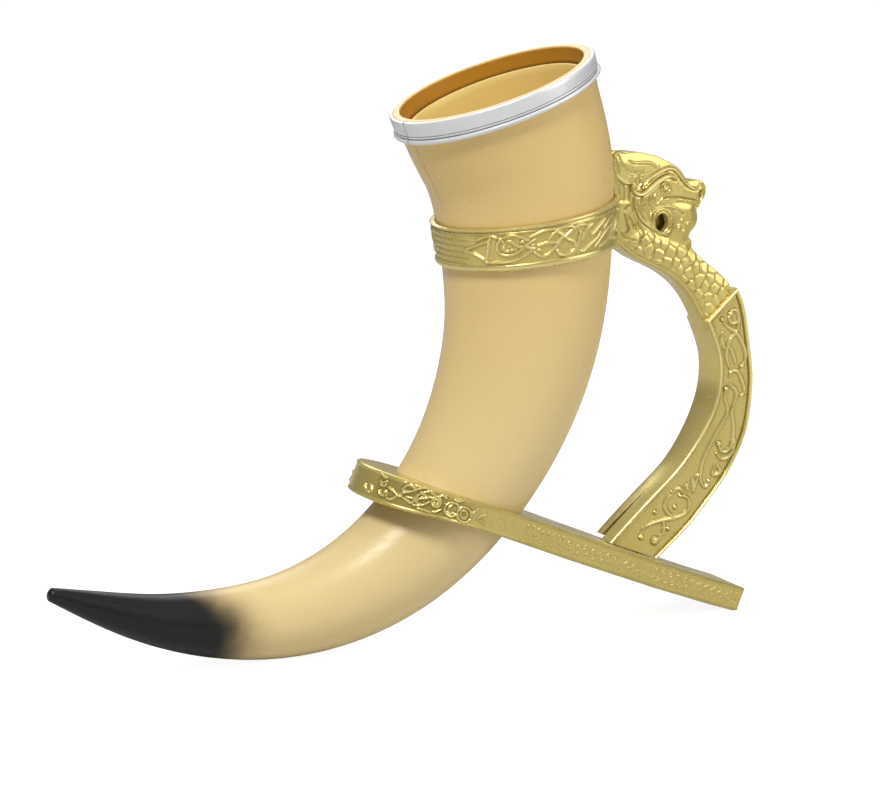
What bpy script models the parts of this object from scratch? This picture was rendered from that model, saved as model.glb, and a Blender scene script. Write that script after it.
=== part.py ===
# Drinking horn with a dragon-head handle, built as separate moulded pieces.
# Lengths below are in millimetres; MM turns them into metres.
# X runs from the horn's tip to the handle, Y is across, Z is up.
import math
import bpy
import bmesh
import numpy as np
from mathutils import Vector

MM = 0.001

# Driving sizes
MOUTH_R = 38.3          # outside radius of the horn wall at the mouth
WALL = 2.8              # horn wall
LINER_T = 1.4           # wall of the inner cup
LINER_DROP = 8.0        # lip of the inner cup below the horn's lip
FIT = 0.3               # gap between neighbouring pieces
LIP_H = 0.5             # lip that stands out over the silver band
LIP_OUT = 1.9           # how far the lip stands out
BAND_H = 7.4            # silver band height
BAND_T = 1.2            # silver band thickness
BEAD_H = 2.8            # bead at the band's lower edge, height
BEAD_T = 2.1            # the same, thickness
COLLAR_Z = 158.3        # height of the collar's middle on the horn axis
COLLAR_SLANT = 2.2      # the collar sits this much lower at the front and higher at the handle
COLLAR_H = 16.0         # collar height
COLLAR_T = 1.3          # collar thickness between its border beads
COLLAR_BEAD = 0.7       # how far the border beads stand out
SADDLE_RISE = 6.0       # upright strip behind the head
GRIP_HALF = 7.9         # half the handle's width at the top of the grip
GRIP_SLIM = 0.17        # share of that width lost towards the foot
HEAD_HALF = 7.6         # half the head's width at the cheek
PLATE_TILT = 19.6       # slope of the base plate, degrees
PLATE_END_X = 144.46    # where the plate's end meets the table
PLATE_END_T = 10.25     # plate thickness at its straight end
PLATE_NOSE_T = 10.6     # plate thickness at its round nose
PLATE_END_HALF = 12.0   # half width of the straight end
NOSE_WALL = 5.4         # plate beyond the horn at its sides
NOSE_FWD = 12.4         # middle of the round nose, in front of the horn axis
FOOT_LAND = 2.0         # flat strip the plate's end rests on
RECESS = 4.5            # depth of the hollow under the plate
RECESS_RIM = 3.0        # rim around that hollow
TENON_L = 14.0          # handle tenon, along the plate
TENON_D = 4.2           # handle tenon, into the plate
PIN_R = 1.6             # locating pins between the handle halves

# Horn axis from the tip to the mouth: x, z, outside radius as a share of MOUTH_R
AXIS = [
    (-146.0, 32.2, 0.066), (-130.0, 26.2, 0.148), (-109.0, 19.5, 0.238), (-85.0, 15.4, 0.326),
    (-59.0, 15.45, 0.405), (-33.1, 21.7, 0.485), (-9.4, 34.6, 0.560), (15.2, 59.6, 0.641),
    (31.7, 91.0, 0.725), (38.9, 125.0, 0.798), (37.3, 157.0, 0.866), (31.0, 186.0, 0.937),
    (24.6, 199.3, 0.972), (18.5, 212.65, 1.000),
]

# Handle outline in the X-Z plane, inner edge from collar to foot
NECK_IN = [(60.0, 161.0), (76.3, 153.1), (83.2, 148.4), (96.1, 142.9), (108.9, 135.8), (116.0, 128.4)]
GRIP_IN = [(119.2, 125.0), (123.4, 116.6), (128.0, 107.2), (129.4, 98.5), (127.6, 85.8), (122.2, 74.3),
           (113.2, 61.9), (102.7, 52.2), (82.4, 33.5), (66.0, 18.0)]
GRIP_OUT = [(134.9, 134.8), (138.0, 129.8), (141.5, 119.5), (144.1, 109.1), (146.2, 98.7), (146.6, 88.2),
            (145.8, 77.6), (142.8, 67.2), (137.5, 56.9), (130.0, 46.9), (121.1, 37.0), (109.9, 27.4), (94.0, 13.0)]
HEAD_TOP = [(60.0, 187.4), (73.1, 188.7), (75.4, 187.8), (80.5, 188.2), (88.1, 187.6), (91.9, 186.9),
            (95.8, 185.6), (99.3, 184.2), (101.8, 183.1), (104.6, 181.1), (106.9, 178.6), (108.3, 177.5),
            (110.0, 177.5), (112.4, 177.8), (115.7, 177.0), (117.1, 175.2), (117.1, 171.8), (115.4, 169.3),
            (114.6, 167.6), (113.1, 166.2), (113.9, 161.9), (112.9, 159.2), (110.9, 156.5), (111.0, 154.4),
            (113.5, 150.2), (118.5, 146.0), (125.5, 141.6), (132.2, 136.5)]
BROW = [(79.0, 171.0), (82.5, 176.5), (88.0, 180.4), (94.0, 182.2), (98.6, 181.8), (100.4, 179.6),
        (95.0, 177.8), (90.0, 176.0), (86.0, 172.6), (84.4, 169.4), (81.6, 168.2)]
JAW = [(82.0, 163.0), (88.0, 159.0), (92.0, 155.6), (98.0, 154.6), (104.8, 156.4), (109.4, 159.6),
       (110.6, 163.4), (105.0, 166.6), (97.6, 166.8), (91.0, 167.4), (85.0, 167.0)]
SNOUT = [(98.0, 171.4), (104.6, 169.8), (112.4, 169.6), (114.6, 172.4), (114.8, 175.0), (112.6, 176.2),
         (108.4, 175.4), (104.0, 177.6), (99.6, 176.6)]
EYE = (95.5, 174.8, 2.0)
JAW_HOLE = (95.7, 160.9, 2.9)
PINS = [(84.0, 170.0), (133.8, 117.0), (132.8, 68.0), (105.6, 40.5)]

N_PHI = 18     # facets round half the horn
N_AX = 46      # steps along the horn

for o in list(bpy.data.objects):
    bpy.data.objects.remove(o, do_unlink=True)


def material(name, rgb, rough, metal=0.0):
    m = bpy.data.materials.new(name)
    m.use_nodes = True
    p = m.node_tree.nodes["Principled BSDF"]
    p.inputs["Base Color"].default_value = (*rgb, 1.0)
    p.inputs["Roughness"].default_value = rough
    p.inputs["Metallic"].default_value = metal
    return m


CREAM = material("horn_cream", (0.80, 0.62, 0.30), 0.4)
SILVER = material("rim_silver", (0.72, 0.73, 0.76), 0.3, 0.6)
TAN = material("liner_tan", (0.55, 0.36, 0.12), 0.4)
GOLD = material("collar_gold", (0.55, 0.42, 0.14), 0.4, 0.4)
GOLD_H = material("handle_gold", (0.55, 0.42, 0.14), 0.4, 0.4)
GOLD_P = material("plate_gold", (0.53, 0.40, 0.13), 0.4, 0.4)


def make(name, verts, faces, mat=None, cutter=False):
    me = bpy.data.meshes.new(name)
    me.from_pydata([tuple(float(c) * MM for c in v) for v in verts], [], faces)
    bm = bmesh.new()
    bm.from_mesh(me)
    bmesh.ops.remove_doubles(bm, verts=bm.verts, dist=1e-7)
    bmesh.ops.recalc_face_normals(bm, faces=bm.faces)
    bm.to_mesh(me)
    bm.free()
    ob = bpy.data.objects.new(name, me)
    bpy.context.scene.collection.objects.link(ob)
    if mat:
        me.materials.append(mat)
    if cutter:
        ob.hide_render = True
        ob.display_type = "WIRE"
    return ob


def boolean(ob, other, op):
    m = ob.modifiers.new(op.lower(), "BOOLEAN")
    m.operation = op
    m.object = other
    m.solver = "EXACT"


# Smooth curve through the axis points
class Curve:
    def __init__(self, pts):
        self.p = np.array(pts, float)
        d = np.hypot(np.diff(self.p[:, 0]), np.diff(self.p[:, 1]))
        self.t = np.concatenate([[0.0], np.cumsum(d)])
        self.t /= self.t[-1]
        n = len(self.p)
        h = np.diff(self.t)
        a = np.zeros((n, n))
        b = np.zeros((n, self.p.shape[1]))
        a[0, 0] = a[-1, -1] = 1.0
        for i in range(1, n - 1):
            a[i, i - 1], a[i, i], a[i, i + 1] = h[i - 1], 2 * (h[i - 1] + h[i]), h[i]
            b[i] = 6 * ((self.p[i + 1] - self.p[i]) / h[i] - (self.p[i] - self.p[i - 1]) / h[i - 1])
        self.m = np.linalg.solve(a, b)

    def at(self, t):
        i = int(np.clip(np.searchsorted(self.t, t) - 1, 0, len(self.t) - 2))
        h = self.t[i + 1] - self.t[i]
        u, v = (self.t[i + 1] - t), (t - self.t[i])
        p, m = self.p, self.m
        return (m[i] * u ** 3 + m[i + 1] * v ** 3) / (6 * h) + (p[i] / h - m[i] * h / 6) * u \
            + (p[i + 1] / h - m[i + 1] * h / 6) * v


axis = Curve(AXIS)


def ring_frame(t):
    c = axis.at(t)
    a, b = axis.at(max(t - 1e-3, 0.0)), axis.at(min(t + 1e-3, 1.0))
    d = (b - a)[:2]
    d = d / np.hypot(*d)
    return c, d


def on_horn(t, phi, off, side, along=0.0):
    # phi 0 is the handle and belly side, pi the front; side is -1 or +1 across Y
    c, d = ring_frame(t)
    r = c[2] * MOUTH_R + off
    nx, nz = d[1], -d[0]
    return (c[0] + r * math.cos(phi) * nx + along * d[0], side * r * math.sin(phi),
            c[1] + r * math.cos(phi) * nz + along * d[1])


PHI = [math.pi * k / N_PHI for k in range(N_PHI + 1)]


def on_phi(k, t, off, side, along=0.0):
    p = on_horn(t, PHI[k], off, side, along)
    return (p[0], 0.0, p[2]) if k in (0, N_PHI) else p


def t_at_z(z):
    lo, hi = 0.5, 1.0
    for _ in range(60):
        mid = (lo + hi) / 2
        if axis.at(mid)[1] < z:
            lo = mid
        else:
            hi = mid
    return lo


# the belly touches the table, whatever the horn's girth
LOW = min(on_phi(0, k / N_AX, 0.0, 1)[2] for k in range(N_AX + 1))
axis = Curve([(x, z - LOW, r) for x, z, r in AXIS])
LENGTH = sum(math.dist(axis.at(k / 400)[:2], axis.at((k + 1) / 400)[:2]) for k in range(400))
STEPS = [k / N_AX for k in range(N_AX + 1)]


def shell_half(name, side, mat):
    # Wall from the lip to where the bore closes, solid from there to the tip
    k0 = next(k for k in range(N_AX) if axis.at(STEPS[k])[2] * MOUTH_R > WALL + 5.0)
    v, f = [], []
    outer = []
    t_lip = 1.0 - LIP_H / LENGTH
    for t, off in [(t, 0.0) for t in STEPS[:-1]] + [(t_lip, 0.0), (t_lip, LIP_OUT), (1.0, LIP_OUT)]:
        outer.append([len(v) + j for j in range(N_PHI + 1)])
        v += [on_phi(j, t, off, side) for j in range(N_PHI + 1)]
    top = len(outer) - 1
    inner = {}
    for k in range(k0, N_AX + 1):
        inner[k] = [len(v) + j for j in range(N_PHI + 1)]
        v += [on_phi(j, STEPS[k], -WALL, side) for j in range(N_PHI + 1)]
    c, d = ring_frame(0.0)
    tip = len(v)
    v.append((c[0] - 1.6 * d[0], 0.0, c[1] - 1.6 * d[1]))
    c, d = ring_frame(STEPS[k0])
    end = len(v)
    v.append((c[0] - 3.0 * d[0], 0.0, c[1] - 3.0 * d[1]))
    for k in range(top):
        for j in range(N_PHI):
            f.append((outer[k][j], outer[k][j + 1], outer[k + 1][j + 1], outer[k + 1][j]))
    for k in range(k0, N_AX):
        for j in range(N_PHI):
            f.append((inner[k][j], inner[k][j + 1], inner[k + 1][j + 1], inner[k + 1][j]))
        for j in (0, N_PHI):
            rim = range(k, k + 2) if k < N_AX - 1 else range(k, top + 1)
            f.append([outer[i][j] for i in rim] + [inner[k + 1][j], inner[k][j]])
    for j in range(N_PHI):
        f.append((tip, outer[0][j], outer[0][j + 1]))
        f.append((end, inner[k0][j], inner[k0][j + 1]))
        f.append((outer[top][j], outer[top][j + 1], inner[N_AX][j + 1], inner[N_AX][j]))
    # flat parting face round the solid tip
    f.append([outer[k][0] for k in range(k0, -1, -1)] + [tip] + [outer[k][N_PHI] for k in range(0, k0 + 1)]
             + [inner[k0][N_PHI], end, inner[k0][0]])
    return make(name, v, f, mat)


def sleeve(name, profile, side, mat, full=False, cutter=False):
    # profile: closed loop of functions (k) -> (t, off) round half the horn
    v, f = [], []
    rows = []
    sides = [side] if not full else [-1, 1]
    for s in sides:
        ks = range(N_PHI + 1) if s == sides[0] else range(N_PHI - 1, 0, -1)
        for k in ks:
            rows.append([len(v) + i for i in range(len(profile))])
            v += [on_phi(k, *p(k), s) for p in profile]
    n = len(rows)
    m = len(profile)
    for a in range(n if full else n - 1):
        b = (a + 1) % n
        for i in range(m):
            f.append((rows[a][i], rows[a][(i + 1) % m], rows[b][(i + 1) % m], rows[b][i]))
    if not full:
        f.append(rows[0])
        f.append(rows[-1])
    return make(name, v, f, mat, cutter)


def const(t, off):
    return lambda k: (t, off)


# Horn halves
shell_half("horn_left_shell", -1, CREAM)
shell_half("horn_right_shell", 1, CREAM)

# Silver band: plain strip with a bead at its lower edge
tb1 = 1.0 - (LIP_H + FIT) / LENGTH
tb0 = tb1 - BAND_H / LENGTH
bead = BEAD_H / LENGTH
sleeve("rim_band", [const(tb0, FIT), const(tb0, FIT + BEAD_T * 0.5), const(tb0 + bead * 0.3, FIT + BEAD_T),
                    const(tb0 + bead * 0.7, FIT + BEAD_T), const(tb0 + bead, FIT + BAND_T),
                    const(tb1, FIT + BAND_T), const(tb1, FIT)],
       1, SILVER, full=True)

# Inner cup, open at the top
tl1 = 1.0 - LINER_DROP / LENGTH
kl = next(k for k in range(N_AX) if axis.at(STEPS[k])[2] * MOUTH_R > WALL + FIT + LINER_T + 9.0)
LT = [t for t in STEPS[kl:] if t < tl1 - 0.4 / N_AX] + [tl1]
LT = LT[::2] + ([LT[-1]] if (len(LT) - 1) % 2 else [])


def liner():
    v, f, rows_o, rows_i = [], [], [], []
    for off, rows in ((-WALL - FIT - 0.25, rows_o), (-WALL - FIT - 0.25 - LINER_T, rows_i)):
        for t in LT:
            rows.append([])
            for s, ks in ((-1, range(N_PHI + 1)), (1, range(N_PHI - 1, 0, -1))):
                for k in ks:
                    rows[-1].append(len(v))
                    v.append(on_phi(k, t, off, s))
    c, d = ring_frame(LT[0])
    ends = []
    for back in (2.0 + LINER_T, 2.0):
        ends.append(len(v))
        v.append((c[0] - back * d[0], 0.0, c[1] - back * d[1]))
    n = 2 * N_PHI
    for rows, e in ((rows_o, ends[0]), (rows_i, ends[1])):
        for a in range(len(LT) - 1):
            for k in range(n):
                f.append((rows[a][k], rows[a][(k + 1) % n], rows[a + 1][(k + 1) % n], rows[a + 1][k]))
        for k in range(n):
            f.append((e, rows[0][k], rows[0][(k + 1) % n]))
    for k in range(n):
        f.append((rows_o[-1][k], rows_o[-1][(k + 1) % n], rows_i[-1][(k + 1) % n], rows_i[-1][k]))
    return make("inner_liner", v, f, TAN)


liner()

# Collar halves: border beads top and bottom, and the strip that rises behind the head
tc = t_at_z(COLLAR_Z)
hc = COLLAR_H / LENGTH / 2
bd = 2.6 / LENGTH


def rise(k):
    s = min(max((math.radians(30) - PHI[k]) / math.radians(10), 0.0), 1.0)
    return SADDLE_RISE / LENGTH * s


def collar(name, side):
    o = FIT + COLLAR_T

    def low(k):
        return tc - hc + COLLAR_SLANT / LENGTH * math.cos(PHI[k])

    def high(k):
        return low(k) + 2 * hc + rise(k)

    prof = [lambda k: (low(k), FIT), lambda k: (low(k), o), lambda k: (low(k) + bd * 0.3, o + COLLAR_BEAD),
            lambda k: (low(k) + bd * 0.7, o + COLLAR_BEAD), lambda k: (low(k) + bd, o),
            lambda k: (high(k) - bd, o), lambda k: (high(k) - bd * 0.7, o + COLLAR_BEAD),
            lambda k: (high(k) - bd * 0.3, o + COLLAR_BEAD), lambda k: (high(k), o), lambda k: (high(k), FIT)]
    # the inner face follows the horn's curve
    prof += [lambda k, q=q: (high(k) + (low(k) - high(k)) * q, FIT) for q in (0.2, 0.4, 0.6, 0.8)]
    return sleeve(name, prof, side, GOLD)


collar("collar_left", -1)
collar("collar_right", 1)

# Volumes that the plate and the handle are cut back from
def tube_cut(name, t0, t1, off, n):
    v, f, rows = [], [], []
    for i in range(n + 1):
        rows.append([])
        t = t0 + (t1 - t0) * i / n
        for s, ks in ((-1, range(N_PHI + 1)), (1, range(N_PHI - 1, 0, -1))):
            for k in ks:
                rows[-1].append(len(v))
                v.append(on_phi(k, t, off, s))
    m = 2 * N_PHI
    for i in range(n):
        for k in range(m):
            f.append((rows[i][k], rows[i][(k + 1) % m], rows[i + 1][(k + 1) % m], rows[i + 1][k]))
    f += [rows[0], rows[-1]]
    return make(name, v, f, None, True)


# Base plate
ct, st = math.cos(math.radians(PLATE_TILT)), math.sin(math.radians(PLATE_TILT))
LAND_Z = FOOT_LAND * st * ct
E_TOP = (PLATE_END_X + PLATE_END_T * st, PLATE_END_T * ct - LAND_Z)


def on_plate(s, y, n):
    # s from the straight end towards the horn, n up from the plate's top face
    return (E_TOP[0] - s * ct + n * st, y, E_TOP[1] + s * st + n * ct)


def plate_axis():
    # where the horn axis goes through the plate's top face
    lo, hi = 0.3, 0.9
    for _ in range(60):
        mid = (lo + hi) / 2
        c = axis.at(mid)
        if (c[0] - E_TOP[0]) * st + (c[1] - E_TOP[1]) * ct < 0:
            lo = mid
        else:
            hi = mid
    c = axis.at(lo)
    return lo, (E_TOP[0] - c[0]) * ct + (c[1] - E_TOP[1]) * st, c[2] * MOUTH_R


t_pl, S_HORN, R_HORN = plate_axis()
NOSE_R = R_HORN + NOSE_WALL
S_NOSE = S_HORN + NOSE_FWD


def plan(inset):
    # straight end, straight tapering sides, round nose
    r = NOSE_R - inset
    e = PLATE_END_HALF - inset
    a = math.asin((NOSE_R - PLATE_END_HALF) / S_NOSE)
    pts = [(inset, -e)]
    n = 22
    for k in range(n + 1):
        q = -math.pi / 2 - a + (math.pi + 2 * a) * k / n
        pts.append((S_NOSE + r * math.cos(q), r * math.sin(q)))
    pts.append((inset, e))
    return pts


def thick(s):
    return PLATE_END_T + (PLATE_NOSE_T - PLATE_END_T) * s / (S_NOSE + NOSE_R)


def plate_solid(name, pts, top, bottom, mat=None, cutter=False):
    n = len(pts)
    v = [on_plate(s, y, top(s)) for s, y in pts] + [on_plate(s, y, bottom(s)) for s, y in pts]
    f = [list(range(n)), list(range(n, 2 * n))]
    f += [(i, (i + 1) % n, n + (i + 1) % n, n + i) for i in range(n)]
    return make(name, v, f, mat, cutter)


plate = plate_solid("base_plate", plan(0.0), lambda s: 0.0, lambda s: -thick(s), GOLD_P)
under = plate_solid("cut_recess", plan(RECESS_RIM), lambda s: RECESS - thick(s), lambda s: -thick(s) - 6.0,
                    None, True)
keep = tube_cut("keep_boss", t_pl - 0.12, t_pl + 0.08, FIT + 3.0, 10)
boolean(under, keep, "DIFFERENCE")
boolean(plate, under, "DIFFERENCE")
boolean(plate, tube_cut("cut_bore", t_pl - 0.14, t_pl + 0.10, FIT, 12), "DIFFERENCE")
S_FOOT = (E_TOP[0] - 94.0) / ct


def box_on_plate(name, s0, s1, y0, y1, n0, n1, mat=None, cutter=True):
    v = [on_plate(s, y, n) for n in (n0, n1) for s, y in ((s0, y0), (s1, y0), (s1, y1), (s0, y1))]
    f = [(0, 1, 2, 3), (4, 5, 6, 7), (0, 1, 5, 4), (1, 2, 6, 5), (2, 3, 7, 6), (3, 0, 4, 7)]
    return make(name, v, f, mat, cutter)


boolean(plate, box_on_plate("cut_socket", S_FOOT - TENON_L / 2 - FIT, S_FOOT + TENON_L / 2 + FIT,
                            -GRIP_HALF + 2.2 - FIT, GRIP_HALF - 2.2 + FIT, -TENON_D - FIT, 2.0), "DIFFERENCE")
# the end stands on a level strip
land = make("cut_land", [(x, y, z) for z in (-30.0, 0.0)
                         for x, y in ((80.0, -60.0), (190.0, -60.0), (190.0, 60.0), (80.0, 60.0))],
            [(0, 1, 2, 3), (4, 5, 6, 7), (0, 1, 5, 4), (1, 2, 6, 5), (2, 3, 7, 6), (3, 0, 4, 7)], None, True)
boolean(plate, land, "DIFFERENCE")

# Handle halves
collar_cut = tube_cut("cut_collar", tc - hc - 0.02, tc + hc + SADDLE_RISE / LENGTH + 0.035,
                      FIT * 2 + COLLAR_T + COLLAR_BEAD, 6)


def prism(name, pts, y0, y1, inset=0.0, top=None):
    v = [(x, y0, z) for x, z in pts]
    n = len(pts)
    f = [list(range(n))]
    rings = [(pts, y1)]
    if top is not None:
        cx, cz = sum(p[0] for p in pts) / n, sum(p[1] for p in pts) / n
        rings.append(([(x + (cx - x) * inset, z + (cz - z) * inset) for x, z in pts], top))
    for k, (ring, y) in enumerate(rings):
        v += [(x, y, z) for x, z in ring]
        f += [(k * n + i, k * n + (i + 1) % n, (k + 1) * n + (i + 1) % n, (k + 1) * n + i) for i in range(n)]
    f.append([len(rings) * n + i for i in range(n)])
    return make(name, v, f, None, True)


def cylinder(name, x, z, r, y0, y1, n=20):
    return prism(name, [(x + r * math.cos(2 * math.pi * k / n), z + r * math.sin(2 * math.pi * k / n))
                        for k in range(n)], y0, y1)


def handle(name, side):
    gi, go = Curve(GRIP_IN), Curve(GRIP_OUT)
    n = 30
    # across the grip: share of its depth, distance below its widest; raised border beads on both edges
    prof = [(0.0, None), (0.0, 1.3), (0.055, 0.3), (0.12, 0.0), (0.19, 0.3), (0.23, 1.5),
            (0.77, 1.5), (0.81, 0.3), (0.88, 0.0), (0.945, 0.3), (1.0, 1.3), (1.0, None)]
    v, f = [], []
    m = len(prof)
    for i in range(n + 1):
        a, b = gi.at(i / n), go.at(i / n)
        s = min(max((i / n - 0.30) / 0.30, 0.0), 1.0)
        w = GRIP_HALF * (1.0 - GRIP_SLIM * s * s * (3 - 2 * s))
        for q, low in prof:
            y = 0.0 if low is None else w - low
            v.append((a[0] + (b[0] - a[0]) * q, side * y, a[1] + (b[1] - a[1]) * q))
    for i in range(n):
        for k in range(m):
            f.append((i * m + k, i * m + (k + 1) % m, (i + 1) * m + (k + 1) % m, (i + 1) * m + k))
    f += [list(range(m)), [n * m + k for k in range(m)]]
    ob = make(name, v, f, GOLD_H)
    base = HEAD_HALF - 2.2
    head = prism(name + "_head", HEAD_TOP + [(134.0, 129.0), (126.0, 122.0)] + NECK_IN[::-1], 0.0, side * base)
    boolean(ob, head, "UNION")
    for tag, pts in (("brow", BROW), ("jaw", JAW), ("snout", SNOUT)):
        boolean(ob, prism(name + "_" + tag, pts, side * 1.0, side * (base + 0.8), 0.16, side * HEAD_HALF), "UNION")
    boolean(ob, cylinder(name + "_eye", EYE[0], EYE[1], EYE[2], side * 1.5, side * (base + 1.2), 16), "UNION")
    boolean(ob, collar_cut, "DIFFERENCE")
    boolean(ob, box_on_plate(name + "_floor", -20.0, 140.0, -30.0, 30.0, -60.0, FIT), "DIFFERENCE")
    y0, y1 = sorted((0.0, side * (GRIP_HALF - 2.2)))
    boolean(ob, box_on_plate(name + "_tenon", S_FOOT - TENON_L / 2, S_FOOT + TENON_L / 2, y0, y1, -TENON_D, 3.0),
            "UNION")
    boolean(ob, cylinder(name + "_hole", JAW_HOLE[0], JAW_HOLE[1], JAW_HOLE[2], -20.0, 20.0, 24), "DIFFERENCE")
    for i, (x, z) in enumerate(PINS):
        if side < 0:
            boolean(ob, cylinder("%s_pin%d" % (name, i), x, z, PIN_R, -2.0, 3.0, 14), "UNION")
        else:
            boolean(ob, cylinder("%s_hole%d" % (name, i), x, z, PIN_R + FIT, -2.0, 3.0 + FIT, 14), "DIFFERENCE")
    return ob


handle("handle_left", -1)
handle("handle_right", 1)

# Put the origin at the middle of the footprint, on the table
dep = bpy.context.evaluated_depsgraph_get()
lo, hi = Vector((9, 9, 9)), Vector((-9, -9, -9))
shown = [o for o in bpy.data.objects if not o.hide_render]
for o in shown:
    for vtx in o.evaluated_get(dep).data.vertices:
        lo = Vector(map(min, lo, vtx.co))
        hi = Vector(map(max, hi, vtx.co))
move = Vector((-(lo.x + hi.x) / 2, 0.0, -lo.z))
for o in bpy.data.objects:
    for vtx in o.data.vertices:
        vtx.co += move
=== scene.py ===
import math
import bmesh
import bpy
import numpy as np
from mathutils import Matrix, Vector
from mathutils.geometry import delaunay_2d_cdt

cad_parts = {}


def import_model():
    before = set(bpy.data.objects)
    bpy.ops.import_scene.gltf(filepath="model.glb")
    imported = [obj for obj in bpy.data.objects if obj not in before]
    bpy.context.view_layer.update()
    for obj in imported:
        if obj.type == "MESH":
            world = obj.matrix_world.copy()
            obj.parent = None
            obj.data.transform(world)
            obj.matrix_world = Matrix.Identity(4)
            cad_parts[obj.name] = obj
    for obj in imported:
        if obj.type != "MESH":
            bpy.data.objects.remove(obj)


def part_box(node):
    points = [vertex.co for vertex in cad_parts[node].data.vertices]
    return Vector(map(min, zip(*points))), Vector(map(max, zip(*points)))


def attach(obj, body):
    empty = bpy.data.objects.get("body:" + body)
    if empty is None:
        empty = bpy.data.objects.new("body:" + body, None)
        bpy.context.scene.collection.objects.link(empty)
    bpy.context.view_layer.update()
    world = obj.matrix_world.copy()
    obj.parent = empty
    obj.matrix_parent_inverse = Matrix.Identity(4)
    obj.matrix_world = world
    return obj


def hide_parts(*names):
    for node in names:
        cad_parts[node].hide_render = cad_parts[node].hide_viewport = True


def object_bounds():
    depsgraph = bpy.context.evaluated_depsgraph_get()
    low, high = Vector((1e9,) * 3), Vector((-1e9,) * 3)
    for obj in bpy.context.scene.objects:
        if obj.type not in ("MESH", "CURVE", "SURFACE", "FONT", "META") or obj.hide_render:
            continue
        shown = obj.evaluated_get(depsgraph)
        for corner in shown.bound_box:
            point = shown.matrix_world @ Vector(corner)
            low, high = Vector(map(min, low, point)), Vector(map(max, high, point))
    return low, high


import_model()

CAD_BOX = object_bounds()
MM = 0.001

# Sizes in millimetres, as in the CAD model. LINER_DROP is 8.0 there, and some points of the
# handle's outline differ, because they follow the photo more closely here.
MOUTH_R, WALL, LINER_T, LINER_DROP, FIT = 38.3, 2.8, 1.4, 6.4, 0.3
LIP_H, BAND_H, BAND_T, BEAD_T = 0.5, 7.4, 1.2, 2.1
TIP_CAP, BORE_END_R, BORE_POINT, LINER_END_R, LINER_POINT = 1.6, 5.0, 3.0, 9.0, 2.0
COLLAR_Z, COLLAR_SLANT, COLLAR_H = 158.3, 2.2, 16.0
COLLAR_T, COLLAR_BEAD, SADDLE_RISE = 1.3, 0.7, 6.0
GRIP_HALF, GRIP_SLIM, HEAD_HALF = 7.9, 0.17, 7.6
PLATE_TILT, PLATE_END_X, PLATE_END_T, PLATE_NOSE_T = 19.6, 144.46, 10.25, 10.6
PLATE_END_HALF, NOSE_WALL, NOSE_FWD = 12.0, 5.4, 12.4
FOOT_LAND, RECESS, RECESS_RIM = 2.0, 4.5, 3.0
# x, z and share of the mouth's radius along the horn
AXIS = [
    (-146.0, 32.2, 0.066), (-130.0, 26.2, 0.148), (-109.0, 19.5, 0.238), (-85.0, 15.4, 0.326),
    (-59.0, 15.45, 0.405), (-33.1, 21.7, 0.485), (-9.4, 34.6, 0.560), (15.2, 59.6, 0.641),
    (31.7, 91.0, 0.725), (38.9, 125.0, 0.798), (37.3, 157.0, 0.866), (31.0, 186.0, 0.937),
    (24.6, 199.3, 0.972), (18.5, 212.65, 1.000),
]
# outline of the handle, x and z
NECK_IN = [
    (60.0, 161.0), (76.3, 153.1), (83.2, 148.4), (96.1, 142.9), (108.9, 135.8), (115.6, 128.8),
    (119.4, 123.4),
]
GRIP_IN = [
    (121.0, 121.6), (124.6, 115.0), (128.0, 107.2), (129.4, 98.5), (127.6, 85.8), (122.2, 74.3),
    (113.2, 61.9), (102.7, 52.2), (82.4, 33.5), (66.0, 18.0),
]
GRIP_OUT = [
    (134.9, 134.8), (138.0, 129.8), (141.5, 119.5), (144.1, 109.1), (146.2, 98.7), (146.6, 88.2),
    (145.8, 77.6), (142.8, 67.2), (137.5, 56.9), (130.0, 46.9), (121.1, 37.0), (109.9, 27.4),
    (94.0, 13.0),
]
HEAD_TOP = [
    (60.0, 187.4), (73.1, 188.7), (75.4, 187.8), (80.5, 188.2), (88.1, 187.6), (91.9, 186.9),
    (95.8, 185.6), (99.3, 184.2), (101.8, 183.1), (104.6, 181.1), (106.9, 178.6), (108.3, 177.5),
    (110.0, 177.5), (112.4, 177.8), (115.7, 177.0), (117.1, 175.2), (117.1, 171.8), (115.4, 169.3),
    (114.6, 167.6), (113.1, 166.2), (113.9, 161.9), (112.9, 159.2), (110.9, 156.8), (110.4, 155.3),
    (112.1, 153.8), (112.4, 150.9), (114.4, 149.2), (118.5, 146.0), (125.5, 141.6), (132.2, 136.5),
]
HOLE_X, HOLE_Z, HOLE_A, HOLE_B = 96.8, 160.8, 2.8, 3.5         # jaw hole: centre and half axes


# Curves and surfaces
def unit(x):
    return np.clip(x, 0, 1)


def hump(x, mid, width):
    return np.exp(-((x - mid) / width) ** 2)


def dome(d, r):
    return np.sqrt(unit(1 - (d / r) ** 2))


def step(x, a, b):
    s = unit((x - a) / (b - a))
    return s * s * (3 - 2 * s)


def lengths(p):
    # distance run along a polyline
    return np.concatenate([[0.0], np.cumsum(np.hypot(*np.diff(p, axis=0).T))])


def bisect(below, lo, hi):
    for _ in range(60):
        mid = (lo + hi) / 2
        low = below(mid)
        lo, hi = np.where(low, mid, lo), np.where(low, hi, mid)
    return lo


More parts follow.
